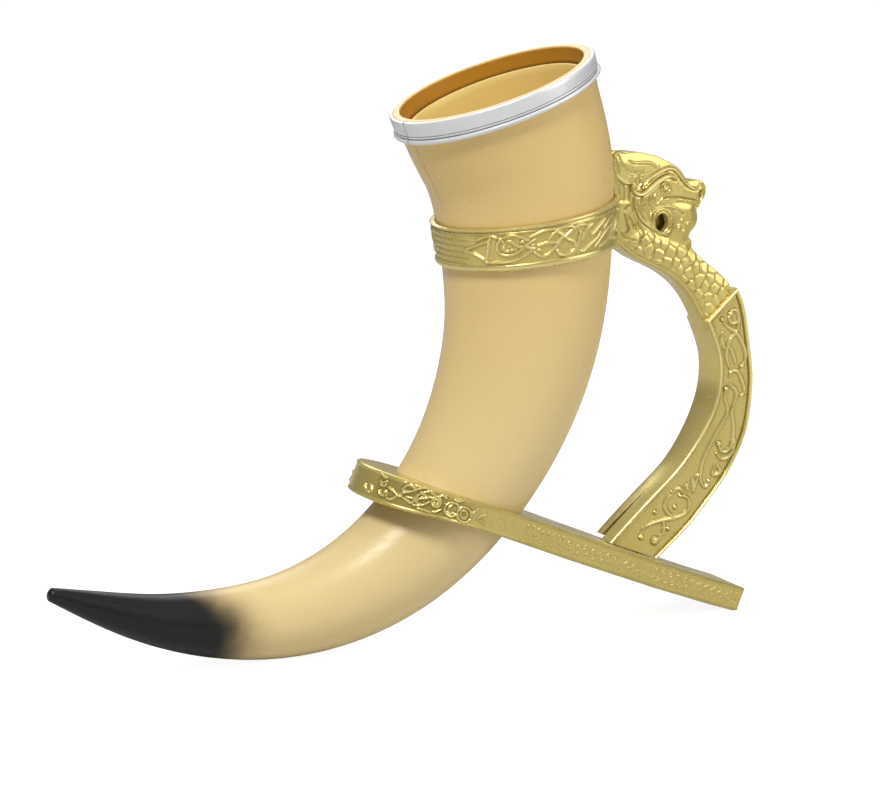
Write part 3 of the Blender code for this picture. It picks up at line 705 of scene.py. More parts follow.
# interlace by the nose: u round the edge from the middle of the nose, v up from its middle line
PLATE_KNOT = [
    [(4.0, -0.9), (4.5, -2.1), (6.9, -3.2)], [(6.6, -0.3), (7.9, -1.2), (8.6, -2.4)],
    [(10.5, 4.7), (12.0, 4.2), (12.8, 3.9)], [(10.9, 2.1), (12.5, 2.0), (13.5, 2.8)],
    [(11.6, 1.1), (12.7, 0.8), (13.7, 1.2)],
    [(11.9, -1.3), (13.0, -2.4), (14.2, -2.5), (14.3, -1.2)],
    [(14.6, -0.4), (15.4, -1.1), (15.5, -2.1)],
    [(15.1, 1.0), (16.9, 0.6), (18.6, -0.1), (19.8, -0.8), (21.2, -0.7)],
    [(16.2, -3.0), (18.0, -2.9), (19.1, -1.6), (20.4, -0.3), (21.8, 1.0), (24.0, 1.9)],
    [(20.9, 1.9), (21.9, 3.5), (24.0, 4.0), (25.3, 3.5), (24.2, 2.0)],
    [(20.9, 1.9), (21.6, 1.1), (22.9, 1.3), (24.2, 2.0)], [(24.6, 2.3), (26.5, 3.6), (28.9, 4.8)],
    [(22.3, -1.0), (24.1, -1.5), (25.9, -1.9), (26.4, -0.3), (27.2, 1.5), (28.6, 2.9), (30.4, 3.8)],
    [(23.3, -0.2), (24.9, -0.1), (26.4, -0.3), (27.5, -1.2), (29.2, -1.5)],
    [(27.0, -0.8), (28.3, 0.5), (30.2, 1.2), (32.1, 2.1)],
    [(26.7, -2.4), (28.5, -2.1), (30.5, -1.2), (31.9, 0.3)],
    [(28.8, -3.1), (31.2, -3.2), (33.7, -3.4)], [(27.8, 2.7), (29.3, 2.2), (30.8, 2.1)],
    [(31.5, 3.8), (32.7, 3.3), (33.9, 2.8)],
    [(32.7, 1.4), (33.8, 2.8), (36.0, 1.3), (35.7, -0.8), (33.7, -0.7), (32.7, 1.4)],
    [(33.8, 1.1), (34.2, 1.8), (35.2, 1.0), (35.1, 0.0), (34.2, 0.2)],
    [(34.9, -3.0), (35.9, -2.4), (36.9, -1.4)], [(35.1, 3.1), (36.4, 3.7), (37.6, 3.1)],
    [(39.7, 2.0), (38.4, 0.7), (38.6, -1.2), (40.2, -2.6), (42.0, -2.8), (43.3, -1.5)],
    [(40.5, 1.3), (39.7, 0.1), (40.0, -1.3), (41.2, -2.0), (42.2, -1.2)],
    [(44.8, 1.7), (47.6, 1.6), (49.7, -0.0), (49.6, -2.5), (47.5, -3.5), (44.8, -2.7), (43.7, -0.8),
     (44.8, 1.7)],
    [(45.2, 0.6), (47.0, 0.4), (48.0, -0.7), (47.7, -2.1), (46.3, -2.1), (45.1, -1.1), (45.2, 0.6)],
    [(39.7, 2.0), (41.6, 2.3), (43.0, 1.8), (43.9, 0.5)], [(41.5, 3.4), (43.3, 3.5), (44.3, 4.1)],
    [(50.3, 0.3), (51.2, 1.7), (52.3, 2.7)], [(53.1, -1.0), (54.1, 0.2), (56.4, 1.3)],
    [(54.4, -1.2), (55.8, -1.4), (56.8, -2.0)],
]
CHAIN_U, CURL_U, KNOT_U = 78.5, 101.5, 132.0            # where the faint patterns start
CHAIN_PITCH, CURL_PITCH, KNOT_PITCH = 2.7, 4.3, 8.6


def faint_strands(end_len):
    out = []
    q = np.linspace(0, 2 * np.pi, 33)
    z = np.linspace(-1, 1, 20)

    def oval(a, b, u, v):
        out.append(np.stack([np.cos(q), np.sin(q)], -1) * (a, b) + (u, v))

    def line(u, v):
        out.append(np.stack([u, v], -1))

    for i, c in enumerate((60.5, 64.0, 67.0, 71.5, 74.0)):      # loose strokes
        line(c + (0.5 + 0.2 * i % 0.7) * z, -0.8 + 0.4 * i - (1.2 + 0.2 * i) * z)
    for i in range(8):                                          # chain of ovals
        tall = 2.3 + 0.3 * math.sin(i * 2.0)
        oval(1.05, tall, CHAIN_U + CHAIN_PITCH * i, 0.3 * math.sin(i * 1.3))
    for i in range(7):                                          # curls
        k = 1.0 if i % 2 else -1.0
        r = 2.1 * (1 - 0.40 * (z + 1))
        u = CURL_U + CURL_PITCH * i
        line(u + r * np.cos(z * 4.4 + i), k * r * np.sin(z * 4.4 + i))
        line(u + 1.9 + 0.6 * z, k * 2.4 * z)
    w = np.linspace(KNOT_U, end_len - 6.5, 260)                 # knots
    for ph in (0.0, math.pi):
        line(w + 0.9 * np.sin(w * 1.57), 2.5 * np.sin(2 * math.pi * (w - KNOT_U) / KNOT_PITCH + ph))
    for c in np.arange(KNOT_U + 2.2, end_len - 8.0, KNOT_PITCH):
        oval(1.3, 1.1, c, 0.0)
        oval(0.9, 1.6, c + KNOT_PITCH / 2, 0.2)
    for back in (6.0, 3.4):
        oval(1.5, 2.4, end_len - back, 0.0)
    return out


def base_plate():
    half = perimeter(0.33)
    m, nw = len(half), EDGE_ROWS
    corner = m - END_STEPS - 1
    ulen = lengths(half)
    tan = np.gradient(half, axis=0)
    nor = np.stack([tan[:, 1], -tan[:, 0]], -1)
    nor = nor / np.linalg.norm(nor, axis=1, keepdims=True)
    nor[corner + 1:] = (-1.0, 0.0)
    nor[corner] = (-0.7071, 0.7071)
    thick = PLATE_END_T + (PLATE_NOSE_T - PLATE_END_T) * half[:, 0] / (S_NOSE + NOSE_R)
    thick = thick + np.interp(half[:, 0], *zip(*PLATE_SWELL))
    depth = -np.linspace(0, 1, nw)[:, None] * thick
    u = np.broadcast_to(ulen, depth.shape)
    vv = depth + thick * 0.5
    hb, hf, foot, soft, rim, shine = np.zeros((6, *depth.shape))
    bold = [smooth(k, 7 * len(k)) for k in PLATE_KNOT]
    for s, l in zip(bold, weave(bold, 0.9)):
        add_stroke(hb, u, vv, s, width=0.52, height=0.60, lift=0.35 + 0.65 * l, foot=foot)
    for s in faint_strands(float(ulen[corner])):
        add_stroke(hf, u, vv, s, width=0.42, height=0.22, foot=soft)
    h = np.maximum(hb, hf)
    # a rounded corner and a raised line along the top and the bottom of the edge
    for d in (-depth, thick + depth):
        rim = rim - 0.45 * unit(1 - d / 0.5) ** 2 + 0.32 * hump(d, 0.75, 0.32)
        shine = np.maximum(shine, hump(d, 0.7, 0.32))
    h = h - 0.10 * foot * (h < 0.1) - 0.05 * soft * (h < 0.05)
    bare = unit(1 - h / 0.25)
    field = step(u, 8.0, 11.0) * (1 - step(u, 49.0, 52.0)) * step(4.4 - np.abs(vv), 0.0, 0.6)
    # painted shade in the hollows beside the strands and a darker ground among the knot; raised
    # strands and the edge lines (shine) get a painted highlight
    dark = (0.14 * field + 0.28 * foot + 0.50 * soft) * bare
    rel = unit(PLATE_TONE + 0.55 * unit(h) - dark + 0.16 * shine)
    ctr = np.array([S_HORN - 3.0, 0.0])
    ang = np.arctan2(half[:, 1], half[:, 0] - ctr[0])

    def hole_at(level, off):
        s, y = hole_loop(level + 1.1, off)
        a, r = np.arctan2(y, s - ctr[0]), np.hypot(s - ctr[0], y)
        o = np.argsort(a)
        rr = np.interp(ang, a[o], r[o], period=2 * np.pi)
        return np.stack([ctr[0] + rr * np.cos(ang), rr * np.sin(ang)], -1)

    def lay(p, level):
        return on_plate(p[:, 0], np.maximum(p[:, 1], 0.0), level)

    def edge_rows(relief_h):
        wall = half + nor * (relief_h + rim - EDGE_INSET)[..., None]
        return [lay(wall[i], depth[i]) for i in range(nw)]

    # one closed loop of rows: top, edge, underside with its recess and boss, then the horn's hole
    inner_rim = half - nor * RECESS_RIM
    top_hole = hole_at(0.0, FIT)
    across = half - nor * 0.9 - top_hole
    loop = [lay(top_hole + across * k, 0.0) for k in (0, 0.25, 0.5, 0.75, 0.93)]
    loop.append(lay(half - nor * 1.15, 0.0))
    n_top = len(loop)
    loop += edge_rows(h)
    boss = hole_at(-6.0, FIT + 3.0)
    far = np.linalg.norm(boss - ctr, axis=1)
    room = np.linalg.norm(inner_rim - ctr, axis=1) - 0.3
    boss = ctr + (boss - ctr) * (np.minimum(far, room) / far)[:, None]
    for p, level in ((half - nor * 1.15, 0.0), (inner_rim, 0.0), (inner_rim, RECESS),
                     (boss + (inner_rim - boss) * 0.5, RECESS), (boss, RECESS), (boss, 0.02),
                     (hole_at(-PLATE_NOSE_T, FIT), 0.02)):
        loop.append(lay(p, level - thick))
    for level in (-8.0, -5.0, -2.5):
        loop.append(lay(hole_at(level, FIT), level * thick / PLATE_NOSE_T))
    v = np.array(loop)
    v[..., 2] = np.maximum(v[..., 2], 0.0)
    v[:, [0, -1], 1] = 0.0
    mirror = v[:, -2:0:-1] * (1, -1, 1)
    # the far side has a plain nose
    plain = v.copy()
    plain[n_top:n_top + nw] = edge_rows(h * step(u, 14.0, 17.0))
    plain[..., 2] = np.maximum(plain[..., 2], 0.0)
    plain[:, [0, -1]] = v[:, [0, -1]]
    full = np.concatenate([plain, mirror], 1)
    # underside in painted shade
    tone = np.full(v.shape[:2], UNDER_TONE)
    tone[:n_top], tone[n_top:n_top + nw] = PLATE_TONE, rel
    bare_nose = tone.copy()
    bare_nose[:, :int(np.searchsorted(ulen, 15.0))] = PLATE_TONE
    tone = np.concatenate([bare_nose, tone[:, -2:0:-1]], 1)
    faces = grid_faces(*full.shape[:2], True, True)
    ob = make("base_plate_fine", full, faces, GOLD_P, "base_plate", tone)


base_plate()


# Handle: a raised relief over its outline, one half on each side
STROKES = {     # points, width, height
    "mane_out": ([(73.2, 188.0), (72.0, 186.3), (71.7, 184.1), (72.3, 181.7), (73.4, 179.5),
        (75.1, 177.7), (77.2, 176.6), (79.7, 176.2), (82.1, 176.4)], 0.75, 0.9),
    "mane_in": ([(73.2, 188.0), (74.4, 186.2), (75.1, 184.1), (76.2, 182.2), (77.9, 180.7),
        (80.3, 179.8), (82.7, 180.0), (85.2, 180.4)], 0.62, 0.7),
    "crown": ([(78.8, 185.0), (82.0, 184.2), (85.4, 184.4), (88.4, 184.3), (90.8, 183.5),
        (92.4, 182.5), (93.2, 183.2)], 0.6, 0.42),
    "brow_hi": ([(85.9, 174.4), (88.3, 177.3), (91.5, 179.6), (95.1, 181.3), (98.4, 182.2),
        (100.7, 181.7), (103.2, 179.8), (105.9, 177.3), (108.4, 175.3), (111.0, 174.3),
        (113.4, 174.9), (114.1, 175.9)], 0.72, 0.95),
    "brow_mid": ([(86.6, 173.8), (89.1, 176.4), (91.9, 178.7), (94.9, 180.1),
        (97.2, 180.7)], 0.55, 0.7),
    "brow_lo": ([(81.2, 176.0), (81.1, 174.2), (82.5, 172.6), (84.8, 171.9), (87.2, 172.6),
        (89.7, 174.3), (92.3, 176.3), (94.8, 178.0), (97.3, 179.0), (99.7, 179.0),
        (101.5, 177.9)], 0.95, 1.35),
    "ear": ([(83.6, 174.7), (84.8, 175.7), (85.3, 177.0), (84.8, 178.0)], 0.6, 0.8),
    "mcorner": ([(93.2, 167.9), (94.5, 169.0), (95.5, 170.1), (96.0, 170.9)], 0.45, 0.5),
    "nose_rim": ([(113.5, 175.4), (115.0, 176.0), (116.2, 175.0), (116.5, 172.8), (116.0, 170.9),
        (115.0, 170.0)], 0.55, 0.45),
    "arc_in": ([(92.1, 162.2), (92.5, 164.2), (94.3, 165.6), (96.8, 166.2), (99.4, 165.3),
        (100.8, 163.3), (101.1, 160.9), (100.8, 158.7), (99.8, 156.9)], 0.6, 0.6),
    "arc_out": ([(90.9, 160.9), (90.6, 163.2), (91.9, 165.3), (94.3, 166.6), (97.4, 167.3),
        (100.9, 167.2), (103.8, 166.2), (106.2, 164.5)], 0.6, 0.5),
    "beard": ([(82.5, 170.3), (83.3, 167.0), (85.2, 163.8), (88.3, 160.9), (92.3, 158.7),
        (96.5, 157.2), (99.4, 155.7)], 0.75, 0.95),
    "beard2": ([(84.9, 168.0), (86.8, 164.8), (89.3, 161.7), (92.9, 159.3)], 0.55, 0.55),
    "beard_dn": ([(81.4, 168.1), (82.4, 165.9), (83.8, 163.2), (84.4, 160.4),
        (83.5, 158.7)], 0.6, 0.55),
    "cheek1": ([(88.1, 169.8), (87.6, 167.6), (89.0, 165.4), (90.6, 163.2)], 0.55, 0.55),
    "cheek2": ([(90.0, 171.0), (89.7, 168.7), (90.9, 166.8), (92.1, 165.4)], 0.55, 0.55),
    "cheek3": ([(92.2, 172.1), (91.5, 169.8), (92.7, 168.2)], 0.55, 0.5),
    "cheek4": ([(86.5, 170.9), (86.0, 169.3), (86.8, 167.1)], 0.55, 0.5),
}
LEAVES = [
    [(78.5, 164.3), (79.9, 161.5), (80.6, 158.2), (79.5, 156.5)],
    [(80.4, 163.7), (82.3, 161.5), (83.9, 158.7)],
    [(84.7, 161.5), (86.9, 158.7), (87.8, 155.9), (86.9, 154.8)],
    [(77.6, 157.1), (80.5, 154.8), (83.9, 154.3)], [(78.6, 165.9), (79.2, 167.0), (80.5, 167.6)],
]
STRIPS = [
    [(73.2, 176.2), (73.5, 173.1), (73.6, 169.6)], [(75.2, 175.9), (75.6, 173.1), (75.8, 169.3)],
    [(77.4, 175.4), (77.7, 173.1), (77.7, 169.2)], [(79.4, 175.0), (79.9, 173.1), (79.6, 170.4)],
]
GROOVES = [     # points, width, height: mouth, lip, nostril
    ([(96.0, 170.6), (101.5, 171.1), (107.0, 170.6), (112.8, 169.8)], 0.42, -0.6),
    ([(103.0, 169.2), (107.2, 169.0), (110.7, 168.2), (113.6, 167.2)], 0.34, -0.35),
    ([(114.4, 173.7), (114.2, 172.1), (114.8, 170.8)], 0.5, -0.8),
]
GROOVES += [(p, 0.62, -0.5) for p in LEAVES] + [(p, 0.32, -0.22) for p in STRIPS]
# bumps on the chin: x, z, radius, height
CHIN = [
    (104.2, 158.8, 1.5, 0.55), (107.0, 157.2, 1.1, 0.35), (108.6, 160.0, 1.1, 0.45),
    (105.6, 161.6, 0.9, 0.3),
]
SCROLLS = [
    [(132.7, 124.5), (134.8, 125.8), (136.7, 124.4), (137.3, 121.9), (137.1, 118.2), (135.1, 115.0),
     (132.8, 111.0), (132.6, 106.9), (134.9, 101.4)],
    [(129.4, 121.7), (131.1, 119.6), (134.2, 117.7), (137.1, 115.9), (140.2, 112.0), (142.0, 108.2),
     (142.2, 104.9), (140.6, 102.3)],
    [(133.5, 111.0), (135.5, 108.3), (136.7, 105.7), (137.3, 103.7)],
    [(129.6, 116.7), (129.7, 113.5), (131.3, 109.8)],
    [(132.4, 122.8), (133.2, 121.0), (134.9, 120.3), (136.5, 121.0)],
    [(134.8, 98.4), (135.9, 100.5), (138.6, 100.4), (140.9, 97.4), (142.7, 94.0), (142.7, 91.1),
     (141.3, 89.9)],
    [(135.1, 95.2), (137.7, 93.4), (139.1, 91.5), (138.4, 88.4)],
    [(133.7, 93.1), (133.5, 89.3), (135.3, 85.1), (134.3, 81.0), (131.8, 76.5), (129.2, 72.1),
     (127.1, 68.0), (125.5, 63.5), (124.9, 59.0), (125.6, 54.7), (127.8, 52.5), (129.4, 54.9)],
    [(138.8, 88.3), (137.7, 84.2), (139.1, 78.2), (139.4, 73.2), (138.3, 68.4), (135.8, 66.7),
     (133.1, 68.7), (132.3, 70.7)],
    [(140.3, 72.3), (140.2, 67.4), (137.4, 64.2), (134.1, 64.2), (132.2, 66.2)],
    [(131.5, 61.0), (131.2, 57.5), (134.4, 58.3), (132.9, 61.3)], [(117.7, 54.3), (119.4, 51.5)],
    [(119.0, 55.1), (118.4, 52.6)], [(121.0, 57.0), (122.2, 51.5)], [(123.8, 57.7), (121.8, 50.8)],
    [(111.0, 50.4), (112.7, 52.4), (115.3, 52.5), (116.6, 51.0)],
    [(115.3, 49.6), (118.6, 48.9), (120.4, 46.6), (119.7, 43.2), (116.3, 41.1), (112.4, 40.4),
     (107.4, 40.0), (101.6, 38.8), (98.3, 37.0), (97.5, 33.1)],
    [(111.6, 50.7), (108.9, 48.3), (108.3, 45.4), (110.1, 42.8), (113.5, 40.9), (117.4, 41.9)],
    [(107.6, 39.6), (108.7, 36.5), (107.0, 33.3), (105.7, 31.9)],
]
# knobs of the scrolls: x, z, radius
DOTS = [
    (128.9, 122.0, 0.9), (140.5, 102.5, 0.9), (133.6, 93.3, 1.0), (132.5, 70.4, 1.1),
    (113.4, 45.0, 0.9), (103.6, 43.6, 0.8), (110.8, 36.2, 0.9), (104.4, 31.6, 1.7),
    (132.9, 124.2, 1.1), (97.6, 33.6, 1.0),
]
EYE, PUPIL = (96.9, 174.6), (97.0, 175.0)
WEDGE_W, FOOT_GAP = 1.9, 2.0            # far half: opening at the foot, gap over the plate
SCALE_L, SCALE_W = 4.4, 4.7
# WALL_LIT_TONE paints the handle's walls lighter, painted light against the dark reflection on the
# grip's inner face
HEAD_TONE, GRIP_TONE, WALL_LIT_TONE = 0.48, 0.47, 0.66
PITCH = 0.33                            # of the points round the outlines
GRIP_MID = (smooth(GRIP_IN, 61) + smooth(GRIP_OUT, 61)) / 2
GRIP_RIM = np.concatenate([smooth(GRIP_IN, 90)[::-1], smooth(GRIP_OUT, 90)])
NECK_LINE = smooth([(74.0, 172.0), (84.0, 157.0), (97.0, 149.0), (112.0, 140.0),
                    (127.0, 128.5)], 60)
BORDER = np.array([0.08, 0.2, 0.38, 0.6, 0.95, 1.3, 1.52, 1.7, 1.82, 1.92, 2.1])


def sdf(px, py, poly):
    # signed distance to a closed outline, positive inside
    closed = np.concatenate([poly, poly[:1]])
    d, _ = seg_dist(px, py, closed)
    inside = np.zeros(px.shape, bool)
    for a, b in zip(closed[:-1], closed[1:]):
        if a[1] != b[1]:
            c = (a[1] > py) != (b[1] > py)
            inside ^= c & (px < (b[0] - a[0]) * (py - a[1]) / (b[1] - a[1]) + a[0])
    return np.where(inside, d, -d)


def clip_plane(poly, val):
    # keeps the part of a polygon where val, given at its points, is not negative
    out = []
    for a, b, va, vb in zip(poly, np.roll(poly, -1, 0), val, np.roll(val, -1)):
        if va >= 0:
            out.append(a)
        if (va >= 0) != (vb >= 0):
            out.append(a + (b - a) * va / (va - vb))
    return np.array(out)


def smooth_head():
    # crown and snout are rounded, with corners kept at the mane tip, nose and chin
    cuts = (0, 1, 11, 15, 19, 23, 24, 25, len(HEAD_TOP) - 1)
    out = []
    for i, j in zip(cuts[:-1], cuts[1:]):
        seg = HEAD_TOP[i:j + 1]
        out += (smooth(seg, 12 * len(seg)) if len(seg) > 2 else np.array(seg)).tolist()[:-1]
    return out + [HEAD_TOP[-1]]


def resample(poly, pitch):
    # even points round a closed outline, corners kept
    out = []
    for a, b in zip(poly, np.roll(poly, -1, 0)):
        m = max(1, int(round(np.linalg.norm(b - a) / pitch)))
        out += [a + (b - a) * i / m for i in range(m)]
    return np.array(out)


def thin_out(poly, least):
    # drops points that crowd their neighbour
    out = [poly[0]]
    for q in poly[1:]:
        if np.linalg.norm(q - out[-1]) > least:
            out.append(q)
    return np.array(out)


def collar_edge():
    t = np.linspace(tc - hc - 0.02, min(tc + hc + SADDLE_RISE / LENGTH + 0.05, 1.0), 40)
    return on_horn(t, 0.0, FIT * 2 + COLLAR_T + COLLAR_BEAD)[:, [0, 2]]


def handle_outlines():
    grip = np.concatenate([smooth(GRIP_IN, 120), smooth(GRIP_OUT, 120)[::-1]])
    grip = clip_plane(grip, over_plate(*grip.T) - FIT)
    edge = collar_edge()
    root = [(134.0, 129.0), (126.0, 119.5), (122.5, 117.5)]     # inside the grip
    head = resample(np.array(smooth_head() + root + smooth(NECK_IN[::-1], 60).tolist()), 1.2)
    head[:, 0] = np.maximum(head[:, 0], np.interp(head[:, 1], edge[:, 1], edge[:, 0]))
    return thin_out(grip, 0.05), thin_out(head, 0.12)


GRIP, HEAD = handle_outlines()


def in_hole(x, z, grow=0.0):
    # under 1 inside the jaw hole
    return np.hypot((x - HOLE_X) / (HOLE_A + grow), (z - HOLE_Z) / (HOLE_B + grow))


def hole_ring(grow):
    ang = np.linspace(0, 2 * np.pi, 73)[:-1]
    return np.stack([HOLE_X + (HOLE_A + grow) * np.cos(ang),
                     HOLE_Z + (HOLE_B + grow) * np.sin(ang)], -1)


def inset_loop(poly, off):
    # points of the head's outline moved inward
    tan = np.roll(poly, -1, 0) - np.roll(poly, 1, 0)
    nor = np.stack([-tan[:, 1], tan[:, 0]], -1)
    nor /= np.linalg.norm(nor, axis=1, keepdims=True) + 1e-12
    area = np.sum(poly[:, 0] * np.roll(poly[:, 1], -1) - np.roll(poly[:, 0], -1) * poly[:, 1])
    q = poly + nor * off * np.sign(area)
    return q[np.abs(sdf(*q.T, HEAD) - off) < 0.04 + 0.12 * off]


def handle_points():
    # grip: rows along its length, columns across
    run = 150.0
    ts = np.concatenate([BORDER / run, np.arange(2.4, run, 0.34) / run])
    a, b = Curve(GRIP_IN).at(ts), Curve(GRIP_OUT).at(ts)
    edge = BORDER / np.linalg.norm(b - a, axis=1)[:, None]
    mid = edge[:, -1:] + (1 - 2 * edge[:, -1:]) * np.linspace(0, 1, 44)[None, 1:-1]
    q = np.concatenate([edge, mid, 1 - edge[:, ::-1]], 1)
    field = (a[:, None, :] + (b - a)[:, None, :] * q[..., None]).reshape(-1, 2)
    field = field[sdf(*field.T, GRIP) > 0.05]
    # head: loops inside its outline, then an even field
    fine = resample(HEAD, PITCH)
    loops = [inset_loop(fine, o) for o in (0.1, 0.25, 0.45, 0.7, 1.0, 1.35)]
    pitch = 0.34
    gx, gz = np.meshgrid(np.arange(70.0, 134.0, pitch), np.arange(122.0, 190.0, pitch * 0.866))
    gx = gx + (np.arange(gx.shape[0]) % 2)[:, None] * pitch / 2
    even = np.stack([gx.ravel(), gz.ravel()], -1)
    inner = np.concatenate(loops + [even[sdf(*even.T, HEAD) > 1.6]])
    inner = inner[sdf(*inner.T, GRIP) < -0.12]
    inner = inner[in_hole(*inner.T, 1.8) > 1]
    # foot of the neck, right beside the grip's top edge
    top_a, top_b = np.array(GRIP_IN[0]), np.array(GRIP_OUT[0])
    along = top_b - top_a
    up = np.array([-along[1], along[0]]) / np.linalg.norm(along)
    lip = top_a + along * np.linspace(0.0, 1.0, 60)[:, None] + up * 0.05
    lip = lip[sdf(*lip.T, HEAD) > 0.05]
    rings = [hole_ring(o) for o in (0.08, 0.2, 0.4, 0.65, 0.9, 1.2, 1.6)]
    return np.concatenate([field, inner, lip] + rings)


def triangulate():
    pts, edges = [], []
    for loop in (resample(GRIP, PITCH), resample(HEAD, PITCH), hole_ring(0.0)):
        k = len(pts)
        edges += [(k + i, k + (i + 1) % len(loop)) for i in range(len(loop))]
        pts += loop.tolist()
    pts += handle_points().tolist()
    out = delaunay_2d_cdt([Vector(p) for p in pts], edges, [], 0, 1e-4)
    v = np.array([tuple(p) for p in out[0]])
    f = np.array(out[2], int)
    c = v[f].mean(1).T
    f = f[(np.maximum(sdf(*c, GRIP), sdf(*c, HEAD)) > 0) & (in_hole(*c) > 0.999)]
    used, f = np.unique(f, return_inverse=True)
    return v[used], f.reshape(-1, 3)


def scales(px, py, line):
    # overlapping rounded scales laid along the neck
    d, s = seg_dist(px, py, line)
    at = np.linspace(0, 1, len(line))
    along, tx, ty, cx, cy = (np.interp(s, at, q) for q in (
        lengths(line), *np.gradient(line, axis=0).T, *line.T))
    across = np.where((px - cx) * ty - (py - cy) * tx > 0, d, -d)
    i0, j0 = np.floor(along / SCALE_L), np.floor(across / SCALE_W)
    first, second = np.full(px.shape, 1e9), np.full(px.shape, 1e9)
    lean, tone = np.zeros(px.shape), np.zeros(px.shape)
    for di in (-2, -1, 0, 1, 2):
        for dj in (-2, -1, 0, 1, 2):
            i, j = i0 + di, j0 + dj
            r1 = np.mod(np.sin(i * 12.99 + j * 78.23) * 437.58, 1.0)
            r2 = np.mod(np.sin(i * 39.35 + j * 11.13) * 246.34, 1.0)
            da = along - (i + 0.5 + 0.6 * (r1 - 0.5)) * SCALE_L
            dw = across - (j + 0.5 + 0.5 * np.mod(i, 2) + 0.6 * (r2 - 0.5)) * SCALE_W
            e = np.hypot(da * 1.05, dw)
            hit = e < first
            second = np.where(hit, first, np.minimum(second, e))
            lean, tone = np.where(hit, da, lean), np.where(hit, r2 - 0.5, tone)
            first = np.where(hit, e, first)
    gap = second - first
    h = 0.16 + 0.075 * lean + 0.10 * tone + 0.24 * unit(gap / 1.6) ** 0.7
    # the second value darkens the gaps between scales, a painted shade that varies from scale to
    # scale
    return h, hump(gap, 0.0, 0.62) * (0.62 + 0.6 * tone)


def head_surface(px, pz, d):
    h, cut, foot = np.zeros((3, *px.shape))
    for pts, w, k in STROKES.values():
        line = smooth(pts, max(12, 6 * len(pts)))
        add_stroke(h, px, pz, line, w, k, taper=True, foot=foot)
    for pts, w, k in GROOVES:
        add_stroke(cut, px, pz, smooth(pts, 20), w, k, taper=True)
    mane = [smooth(STROKES["mane_out"][0], 40), smooth(STROKES["mane_in"][0][::-1], 40)]
    h = np.maximum(h, 0.38 * step(sdf(px, pz, np.concatenate(mane)), 0.0, 0.8))
    eye = np.hypot(px - EYE[0], pz - EYE[1])
    ball = np.maximum(0.9 * dome(eye, 1.35), 0.75 * hump(eye, 2.1, 0.38))
    h = np.maximum(h, ball - 0.7 * hump(np.hypot(px - PUPIL[0], pz - PUPIL[1]), 0.0, 0.5))
    foot = np.maximum(foot, hump(eye, 1.55, 0.22))
    for bx, bz, r, k in CHIN:
        h = np.maximum(h, k * unit(1 - ((px - bx) ** 2 + (pz - bz) ** 2) / r ** 2))
    h = np.maximum(h, 0.45 * hump(in_hole(px, pz), 1.22, 0.14))
    # scales on the neck, with a plain border along its lower edge
    on_neck = step(-(pz - 154.5) - 0.32 * (px - 96.0), -1.5, 1.0) \
        * step(0.8 * (px - 84.0) - (pz - 156.0), -1.5, 1.5)
    low_edge, _ = seg_dist(px, pz, smooth(NECK_IN, 40))
    on_neck = unit(on_neck) * step(low_edge, 1.3, 1.8)
    sc, sc_foot = scales(px, pz, NECK_LINE)
    rough = np.maximum(h, sc * on_neck)
    # dark is painted shade: beside the strokes, round the eye, in the scales' gaps and along the
    # line over the neck's lower edge
    dark = np.maximum(foot * unit(1 - h / 0.25), 0.75 * (sc_foot * on_neck))
    dark = np.maximum(dark, 0.8 * hump(low_edge, 1.5, 0.22))
    # the jaw swells, and the strip that stands against the horn lies lower than the face
    jaw = step(px, 97.0, 103.0) * step(-pz, -169.0, -166.0) * step(pz, 154.0, 159.0)
    strip = step(-px, -81.0, -79.6) * step(-pz, -176.2, -175.4) * step(pz, 168.6, 169.6)
    y = 5.1 + 0.55 * step(d, 0.0, 4.0) - 0.35 * step(px, 103.0, 115.0) + 0.35 * jaw - 0.35 * strip
    bevel = np.where(d < 0.45, 0.45 - np.sqrt(np.clip(0.45 ** 2 - (0.45 - d) ** 2, 0, None)), 0.0)
    y = y + rough + cut - 0.12 * dark - bevel
    # the tone paints raised parts lighter as a highlight and grooves and hollows darker as shade
    return np.minimum(y, HEAD_HALF + 0.3), HEAD_TONE + 0.34 * rough + 0.5 * cut - 0.36 * dark


def grip_surface(px, pz):
    # raised border, thin inner line, scroll on the field; the foot has no border
    g, foot = np.zeros((2, *px.shape))
    for pts in SCROLLS:
        line = smooth(pts, 8 * len(pts)) if len(pts) > 2 else pts
        add_stroke(g, px, pz, line, width=0.92, height=0.72, taper=True, foot=foot)
    for cx, cz, r in DOTS:
        e = np.hypot(px - cx, pz - cz)
        g = np.maximum(g, 0.95 * dome(e, r))
        foot = np.maximum(foot, hump(e, 1.15 * r, 0.3))
    db, _ = seg_dist(px, pz, GRIP_RIM)
    border = 1.42 * dome(db - 0.75, 0.75)
    outer = np.maximum(border, 0.45 + 0.97 * step(db, 0.0, 0.75))
    border = np.where(db < 0.75, outer, border)
    foot = np.maximum(foot, 0.8 * hump(db, 1.65, 0.25))
    _, s = seg_dist(px, pz, GRIP_MID)
    wide = GRIP_HALF * (1 - GRIP_SLIM * step(s, 0.30, 0.60))
    rise = np.maximum(np.maximum(border, 0.30 * hump(db, 2.35, 0.28)), g)
    # dark is painted shade in the hollows beside scrolls, knobs and border; the tone paints raised
    # parts lighter, a painted highlight
    dark = foot * unit(1 - rise / 0.3)
    y = np.minimum(wide - 1.5 + rise - 0.12 * dark, wide)
    return y, GRIP_TONE + 0.42 * rise - 0.46 * dark


PLAN = triangulate()


